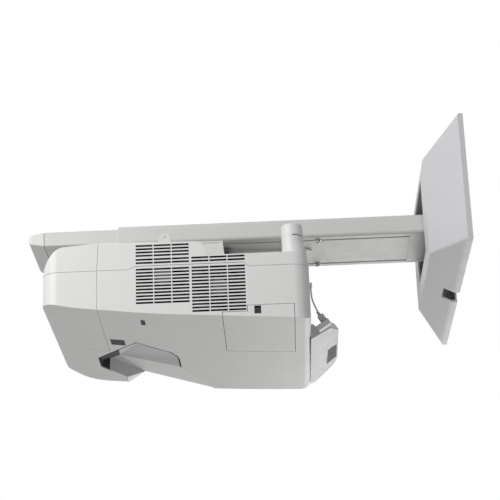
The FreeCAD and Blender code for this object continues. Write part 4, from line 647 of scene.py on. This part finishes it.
def recess_facets():
    """The facets of the light recess as lists of corners: grey, painted as shade on facets that face away
    from the light; black, painted as deep shade; and in the casing's own plastic.
    """
    rim = [RIM_P2, RIM_NEAR] + RIM_ARC + [RIM_EAST]
    grey = [(a, b, CEILING_NEAR) for a, b in zip(rim, rim[1:])]
    grey += [(CEILING_NEAR, CEILING_FAR, WINDOW_HIGH), (WINDOW_HIGH, CEILING_FAR, RIM_FAR),
             (WINDOW_HIGH, RIM_FAR, RIM_P5)]
    black = [(RIM_P1, RIM_P2, CEILING_NEAR), (RIM_P1, CEILING_NEAR, WINDOW_LOW),
             (WINDOW_LOW, CEILING_NEAR, WINDOW_HIGH), (WINDOW_LOW, WINDOW_HIGH, RIM_P5),
             (WINDOW_LOW, RIM_P5, RIM_P6), (RIM_P1, WINDOW_LOW, RIM_P6)]
    plain = [(RIM_EAST, CEILING_FAR, CEILING_NEAR), (RIM_EAST, RAMP_END, CEILING_FAR),
             (RIM_P5, RIM_FAR, STRIP_END), (RIM_FAR, CEILING_FAR, STRIP_END)]
    return grey, black, plain


def thick_sheet(groups, thickness):
    """A closed sheet under the given triangles, each group with its own material, built upwards."""
    work = bmesh.new()
    made = {}

    def corner(point, rise):
        key = (tuple(point), rise)
        if key not in made:
            made[key] = work.verts.new(point + Vector((0, 0, rise)))
        return made[key]

    sides = {}
    for index, triangles in enumerate(groups):
        for triangle in triangles:
            low = work.faces.new([corner(p, 0.0) for p in triangle])
            high = work.faces.new([corner(p, thickness) for p in reversed(triangle)])
            low.material_index = high.material_index = index
            for a, b in zip(triangle, triangle[1:] + triangle[:1]):
                key = frozenset((tuple(a), tuple(b)))
                sides[key] = None if key in sides else (a, b, index)
    for side in filter(None, sides.values()):
        a, b, index = side
        wall = work.faces.new([corner(a, 0.0), corner(b, 0.0), corner(b, thickness), corner(a, thickness)])
        wall.material_index = index
    bmesh.ops.recalc_face_normals(work, faces=work.faces)
    return work


def grown(points, distance):
    """A plan outline moved outwards by a distance, square to its sides."""
    result = []
    middle = sum(points, Vector()) / len(points)
    for before, here, after in zip(points[-1:] + points[:-1], points, points[1:] + points[:1]):
        lines = [Vector((q.y - p.y, p.x - q.x, 0)).normalized() for p, q in ((before, here), (here, after))]
        lines = [n if n.dot(here - middle) > 0 else -n for n in lines]
        corner = lines[0] + lines[1]
        result.append(here + corner * (distance / (1 + lines[0].dot(lines[1]))))
    return result


def column(points, low, tops):
    """An upright prism over a plan outline, from one low height up to each point's own top."""
    work = bmesh.new()
    rings = [[work.verts.new((p.x, p.y, low)) for p in points],
             [work.verts.new((p.x, p.y, top)) for p, top in zip(points, tops)]]
    for ring in rings:
        work.faces.new(ring)
    count = len(points)
    for k in range(count):
        after = (k + 1) % count
        work.faces.new((rings[0][k], rings[0][after], rings[1][after], rings[1][k]))
    bmesh.ops.recalc_face_normals(work, faces=work.faces)
    return work


def carve(made, work):
    """Takes a closed bmesh out of a piece."""
    mesh = bpy.data.meshes.new("carver")
    work.to_mesh(mesh)
    work.free()
    tool = bpy.data.objects.new("carver", mesh)
    bpy.context.scene.collection.objects.link(tool)
    kept = list(made.modifiers)
    for modifier in kept:
        modifier.show_viewport = False
    cut = made.modifiers.new("carve", "BOOLEAN")
    cut.operation = "DIFFERENCE"
    cut.solver = "EXACT"
    cut.object = tool
    graph = bpy.context.evaluated_depsgraph_get()
    fresh = bpy.data.meshes.new_from_object(made.evaluated_get(graph), depsgraph=graph)
    made.modifiers.remove(cut)
    for modifier in kept:
        modifier.show_viewport = True
    work = bmesh.new()
    work.from_mesh(fresh)
    sharpen(work, CASE_ANGLE)
    work.to_mesh(fresh)
    work.free()
    made.data = fresh
    bpy.data.objects.remove(tool)


def skirt(rim, far_side):
    """A black ledge behind the gap between the recess's rim and the casing, open towards the far side:
    painted shade, so the gap reads as a dark reveal.
    """
    work = bmesh.new()
    outer = grown(rim + far_side, RECESS_SKIRT)[:len(rim)]
    sections = []
    for near, far in zip(rim, outer):
        sections.append([work.verts.new(near + Vector((0, 0, RECESS_LEDGE))),
                         work.verts.new(far + Vector((0, 0, RECESS_WALL + RECESS_SEAT))),
                         work.verts.new(near + Vector((0, 0, 2 * RECESS_LEDGE)))])
    for before, after in zip(sections, sections[1:]):
        for k in range(3):
            work.faces.new((before[k], after[k], after[(k + 1) % 3], before[(k + 1) % 3]))
    work.faces.new(sections[0])
    work.faces.new(sections[-1])
    bmesh.ops.recalc_face_normals(work, faces=work.faces)
    return work


def open_casing(rim, far_side, runs):
    """Cuts the recess's mouth, its runs to the far side and the far wall's notch out of the lower shell."""
    shell = bpy.data.objects["lower_shell_finished"]
    mouth = [Vector((p.x, min(p.y, FAR_WALL_INSIDE), p.z))
             for p in grown(rim + far_side, RECESS_REVEAL)]
    carve(shell, column(mouth, CARVE_LOW, [CARVE_HIGH] * len(mouth)))
    notch = [CEILING_FAR + Vector((x, y, 0.0)) for x, y in FAR_NOTCH]
    for corners in runs + [notch]:
        carve(shell, column(corners, CARVE_LOW, [p.z + RECESS_WALL / 2 for p in corners]))


class MOUNT_OT_recess(bpy.types.Operator):
    """Finish the light recess, its window and the small windows beside it"""
    bl_idname = "mount.recess"
    bl_label = "Light recess"

    def execute(self, context):
        grey, black, plain = recess_facets()
        body = body_of_node("recess_liner")
        # The grey and the black finishes are painted shade on the recess's facets
        finishes = [finish(name) for name in ("recess_shade_grey_abs", "recess_shade_black", "case_abs")]
        sheet = thick_sheet((grey, black, plain), RECESS_WALL)
        liner = place(sheet, "recess_liner_finished", body, finishes, FACET_ANGLE)
        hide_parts("recess_liner")
        near_rim = [RIM_P6, RIM_P1, RIM_P2, RIM_NEAR] + RIM_ARC + [RIM_EAST]
        far_side = [CEILING_FAR, RIM_P5]
        open_casing(near_rim, far_side, plain)
        # A black sheet painted as the shade in the gap round the rim
        ledge = place(skirt(near_rim, far_side), "recess_ledge", body, [finish("recess_shade_black")])
        edge = context.scene.mount_sizes.small_edge
        dress("window_glass", "projection_window_glass", edge)
        dress("sensor_window", "sensor_window_acrylic", edge)
        dress("remote_receiver", "sensor_window_acrylic", edge)
        return {"FINISHED"}


class MOUNT_OT_door(bpy.types.Operator):
    """Finish the lamp door, its hinge and its latch"""
    bl_idname = "mount.door"
    bl_label = "Lamp door"

    def execute(self, context):
        dress("lamp_door", "case_abs", angle=CASE_ANGLE)
        dress("door_hinge_pin", "zinc_plated_steel")
        dress("door_latch", "black_glass_filled_abs", context.scene.mount_sizes.small_edge)
        return {"FINISHED"}


class MOUNT_OT_fans(bpy.types.Operator):
    """Finish both fans"""
    bl_idname = "mount.fans"
    bl_label = "Fans"

    def execute(self, context):
        for mark, (x, z) in FAN_AXES.items():
            dress("fan_frame_" + mark, "black_glass_filled_abs")

            def blade(face, axis=Vector((x, 0, z))):
                centre = face.calc_center_median()
                centre.y = 0
                return int((centre - axis).length > HUB_REACH)

            dress("fan_rotor_" + mark, ("fan_hub_abs", "fan_blade_abs"), choose=blade)
        return {"FINISHED"}


def foot_cap(side):
    """A foot's turning cap, turned about its stem; a short dark slot shows under its edge at the right."""
    profile = [(FOOT_BORE, FOOT_CEILING), (FOOT_BORE, FOOT_LIFTED), (FOOT_R, FOOT_LIFTED),
               (FOOT_R, FOOT_TOP - FOOT_ROUND)]
    for k in range(1, FOOT_ROUND_STEPS + 1):
        a = math.radians(90 * k / FOOT_ROUND_STEPS)
        profile.append((FOOT_R - FOOT_ROUND * (1 - math.cos(a)), FOOT_TOP - FOOT_ROUND * (1 - math.sin(a))))
    work = bmesh.new()
    middle = Vector((FOOT_X, side * FOOT_Y, 0))
    top = work.verts.new(middle + Vector((0, 0, FOOT_TOP)))
    ceiling = work.verts.new(middle + Vector((0, 0, FOOT_CEILING)))
    rings = []
    for k in range(FOOT_STEPS):
        turn = 360.0 * k / FOOT_STEPS - 180.0
        a = math.radians(turn)
        open_here = FOOT_SLOT[0] < turn < FOOT_SLOT[1]
        ring = []
        for number, (r, z) in enumerate(profile):
            if number in (1, 2) and not open_here:
                z = FOOT_SEATED
            ring.append(work.verts.new(middle + Vector((r * math.cos(a), r * math.sin(a), z))))
        rings.append(ring)
    for here, after in zip(rings, rings[1:] + rings[:1]):
        for k in range(len(profile) - 1):
            work.faces.new((here[k], after[k], after[k + 1], here[k + 1]))
        work.faces.new((here[-1], after[-1], top))
        work.faces.new((here[0], ceiling, after[0]))
    bmesh.ops.recalc_face_normals(work, faces=work.faces)
    return work


class MOUNT_OT_feet(bpy.types.Operator):
    """Finish the turning feet on the roof"""
    bl_idname = "mount.feet"
    bl_label = "Feet"

    def execute(self, context):
        for mark, side in (("near", -1), ("far", 1)):
            dress("foot_stem_" + mark, "black_glass_filled_abs")
            node = "foot_cap_" + mark
            cap = place(foot_cap(side), node + "_finished", body_of_node(node), [finish("case_abs")],
                        FOOT_ANGLE)
            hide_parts(node)
        return {"FINISHED"}


class MOUNT_OT_insides(bpy.types.Operator):
    """Finish what is inside the casing"""
    bl_idname = "mount.insides"
    bl_label = "Insides"

    def execute(self, context):
        plan = {"chassis": "zinc_plated_steel", "case_screws": "zinc_plated_steel",
                "main_board": "circuit_board_epoxy", "power_board": "circuit_board_epoxy",
                "optical_engine": "die_cast_magnesium", "lens_barrel": "black_glass_filled_abs",
                "mirror": "front_silvered_mirror", "mirror_bracket": "adjuster_dark_coat",
                "lamp_unit": "lamp_housing_pps", "air_filter": "filter_fleece"}
        for node, material in plan.items():
            dress(node, material)
        return {"FINISHED"}


def module_point(u, y, t):
    """A point of the sensor module: u up its slope, y along it, t in from its face."""
    c, d = math.cos(MODULE_ANGLE), math.sin(MODULE_ANGLE)
    return MODULE_START + Vector((u * c - t * d, y, u * d + t * c))


def plug_collar():
    """The thin black frame round the plug where it enters its socket."""
    work = bmesh.new()
    rings = []
    for t in (PLUG_BASE, PLUG_BASE + COLLAR_T):
        for half_u, half_y in ((COLLAR_U, COLLAR_Y), (PLUG_HALF_U, PLUG_HALF_Y)):
            corners = ((-1, -1), (1, -1), (1, 1), (-1, 1))
            rings.append([work.verts.new(module_point(PLUG_U + a * half_u, PLUG_Y + b * half_y, t))
                          for a, b in corners])
    low_out, low_in, high_out, high_in = rings
    for one, other in ((low_out, low_in), (low_in, high_in), (high_in, high_out), (high_out, low_out)):
        for k in range(4):
            after = (k + 1) % 4
            work.faces.new((one[k], one[after], other[after], other[k]))
    bmesh.ops.recalc_face_normals(work, faces=work.faces)
    return work


def narrow_socket(made):
    """Draws the socket's sides in towards the plug."""
    for vertex in made.data.vertices:
        vertex.co.y = PLUG_Y + (vertex.co.y - PLUG_Y) * SOCKET_NARROWING


class MOUNT_OT_module(bpy.types.Operator):
    """Finish the sensor module"""
    bl_idname = "mount.module"
    bl_label = "Sensor module"

    def execute(self, context):
        sizes = context.scene.mount_sizes
        dress("module_housing", "module_abs", sizes.module_edge)
        dress("module_window", "smoked_acrylic", sizes.small_edge)
        dress("module_board", "circuit_board_epoxy")
        dress("module_back", "bracket_powder_coat", sizes.small_edge)
        narrow_socket(dress("module_socket", "module_abs", sizes.small_edge))
        collar = place(plug_collar(), "plug_collar", body_of_node("module_socket"),
                       [finish("black_glass_filled_abs")])
        dress("grommet", "case_abs", sizes.small_edge)
        return {"FINISHED"}


class MOUNT_OT_lead(bpy.types.Operator):
    """Make the short jumper lead and finish its plug"""
    bl_idname = "mount.lead"
    bl_label = "Jumper lead"

    def execute(self, context):
        diameter = context.scene.mount_sizes.lead_diameter
        curve = bpy.data.curves.new("jumper_lead", "CURVE")
        curve.dimensions = "3D"
        curve.resolution_u = LEAD_STEPS
        curve.bevel_depth = diameter / 2
        curve.bevel_resolution = LEAD_BEVEL_STEPS
        curve.use_fill_caps = True
        line = curve.splines.new("NURBS")
        line.points.add(len(LEAD_POINTS) - 1)
        for point, at in zip(line.points, LEAD_POINTS):
            point.co = (*at, 1.0)
        line.order_u = 3
        line.use_endpoint_u = True
        lead = bpy.data.objects.new("jumper_lead", curve)
        context.scene.collection.objects.link(lead)
        curve.materials.append(finish("lead_pvc"))
        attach(lead, body_of_node("lead"))
        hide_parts("lead")
        plug = dress("plug", "plug_nylon", context.scene.mount_sizes.small_edge)
        relief = dress("strain_relief", "plug_nylon")
        return {"FINISHED"}


def fitted_camera(scene):
    """The photograph's camera: yaw and pitch aim it, and roll turns it about its own axis."""
    forward = Vector((math.sin(CAMERA_YAW) * math.cos(CAMERA_PITCH),
                      math.cos(CAMERA_YAW) * math.cos(CAMERA_PITCH), math.sin(CAMERA_PITCH)))
    right = Vector((math.cos(CAMERA_YAW), -math.sin(CAMERA_YAW), 0))
    down = forward.cross(right)
    across = math.cos(CAMERA_ROLL) * right + math.sin(CAMERA_ROLL) * down
    fall = -math.sin(CAMERA_ROLL) * right + math.cos(CAMERA_ROLL) * down
    lens = bpy.data.cameras.new("camera")
    lens.lens = CAMERA_LENS
    lens.sensor_width = SENSOR_WIDTH
    camera = bpy.data.objects.new("camera", lens)
    scene.collection.objects.link(camera)
    turn = Matrix((across, -fall, -forward)).transposed()
    camera.matrix_world = Matrix.Translation(CAMERA_AT) @ turn.to_4x4()
    scene.camera = camera


def white_studio(scene):
    """White surroundings: a soft fill for the surfaces, full white where the camera or a mirror sees them."""
    world = bpy.data.worlds.new("studio")
    scene.world = world
    world.use_nodes = True
    tree = world.node_tree
    tree.nodes.clear()
    rays = add(tree, "ShaderNodeLightPath")
    seen = add(tree, "ShaderNodeMath", {0: rays.outputs["Is Camera Ray"], 1: rays.outputs["Is Glossy Ray"]},
               operation="MAXIMUM")
    seen = add(tree, "ShaderNodeMath", {0: seen.outputs[0], 1: rays.outputs["Is Transmission Ray"]},
               operation="MAXIMUM")
    fill = add(tree, "ShaderNodeBackground", {"Color": (1, 1, 1, 1), "Strength": FILL_STRENGTH})
    white = add(tree, "ShaderNodeBackground", {"Color": (1, 1, 1, 1), "Strength": SEEN_STRENGTH})
    mixed = add(tree, "ShaderNodeMixShader", {0: seen.outputs[0], 1: fill.outputs[0], 2: white.outputs[0]})
    add(tree, "ShaderNodeOutputWorld", {"Surface": mixed.outputs[0]})


def pale_floor_paint():
    """Pale studio floor paint: rolled on, matt, with broad faint clouds."""
    made, tree, where = start_material("pale_floor_paint")
    shader = add(tree, "ShaderNodeBsdfPrincipled", {
        "Base Color": varied(tree, where, linear("EFEFEE"), 0.01, 300.0),
        "Roughness": spread(tree, where, 0.6, 0.7, 120.0)})
    end_material(tree, shader)
    return made


def studio_floor(scene):
    """The plain floor that takes the shadow."""
    work = bmesh.new()
    bmesh.ops.create_grid(work, x_segments=2, y_segments=2, size=FLOOR_HALF)
    bmesh.ops.translate(work, verts=work.verts, vec=(FLOOR_X, 0, scene.mount_sizes.floor_height))
    mesh = bpy.data.meshes.new("floor")
    work.to_mesh(mesh)
    work.free()
    floor = bpy.data.objects.new("floor", mesh)
    scene.collection.objects.link(floor)
    mesh.materials.append(pale_floor_paint())


def area_light(name, at, target, size, power):
    """A rectangular soft lamp turned towards its target."""
    light = bpy.data.lights.new(name, "AREA")
    light.shape = "RECTANGLE"
    light.size, light.size_y = size
    light.energy = power
    made = bpy.data.objects.new(name, light)
    bpy.context.scene.collection.objects.link(made)
    made.location = at
    made.rotation_euler = (Vector(target) - Vector(at)).to_track_quat("-Z", "Y").to_euler()


class MOUNT_OT_stage(bpy.types.Operator):
    """Set the camera, the floor and the studio light"""
    bl_idname = "mount.stage"
    bl_label = "Stage"

    def execute(self, context):
        scene = context.scene
        scene.view_settings.view_transform = "Standard"
        fitted_camera(scene)
        white_studio(scene)
        studio_floor(scene)
        for lamp in LAMPS:
            area_light(*lamp)
        return {"FINISHED"}


OPERATORS = (MOUNT_OT_wall_cover, MOUNT_OT_arm, MOUNT_OT_carriage, MOUNT_OT_adjuster, MOUNT_OT_bracket,
             MOUNT_OT_casing, MOUNT_OT_recess, MOUNT_OT_door, MOUNT_OT_fans, MOUNT_OT_feet,
             MOUNT_OT_insides, MOUNT_OT_module, MOUNT_OT_lead, MOUNT_OT_stage)


class MOUNT_PT_panel(bpy.types.Panel):
    """Lists the finishing steps"""
    bl_idname = "MOUNT_PT_panel"
    bl_label = "Projector wall mount"
    bl_space_type = "VIEW_3D"
    bl_region_type = "UI"
    bl_category = "Mount"

    def draw(self, context):
        for group in (context.scene.mount_sizes, context.scene.mount_colours):
            for name in group.__annotations__:
                self.layout.prop(group, name)
        for each in OPERATORS:
            self.layout.operator(each.bl_idname)


CLASSES = (MountSizes, MountColours) + OPERATORS + (MOUNT_PT_panel,)


def register():
    """Adds the classes and the scene's two groups of values."""
    for each in CLASSES:
        bpy.utils.register_class(each)
    bpy.types.Scene.mount_sizes = bpy.props.PointerProperty(type=MountSizes)
    bpy.types.Scene.mount_colours = bpy.props.PointerProperty(type=MountColours)


def unregister():
    """Takes them away again."""
    del bpy.types.Scene.mount_sizes
    del bpy.types.Scene.mount_colours
    for each in reversed(CLASSES):
        bpy.utils.unregister_class(each)


def main():
    """Runs every step."""
    register()
    for each in OPERATORS:
        group, name = each.bl_idname.split(".")
        getattr(getattr(bpy.ops, group), name)()


if __name__ == "__main__":
    main()
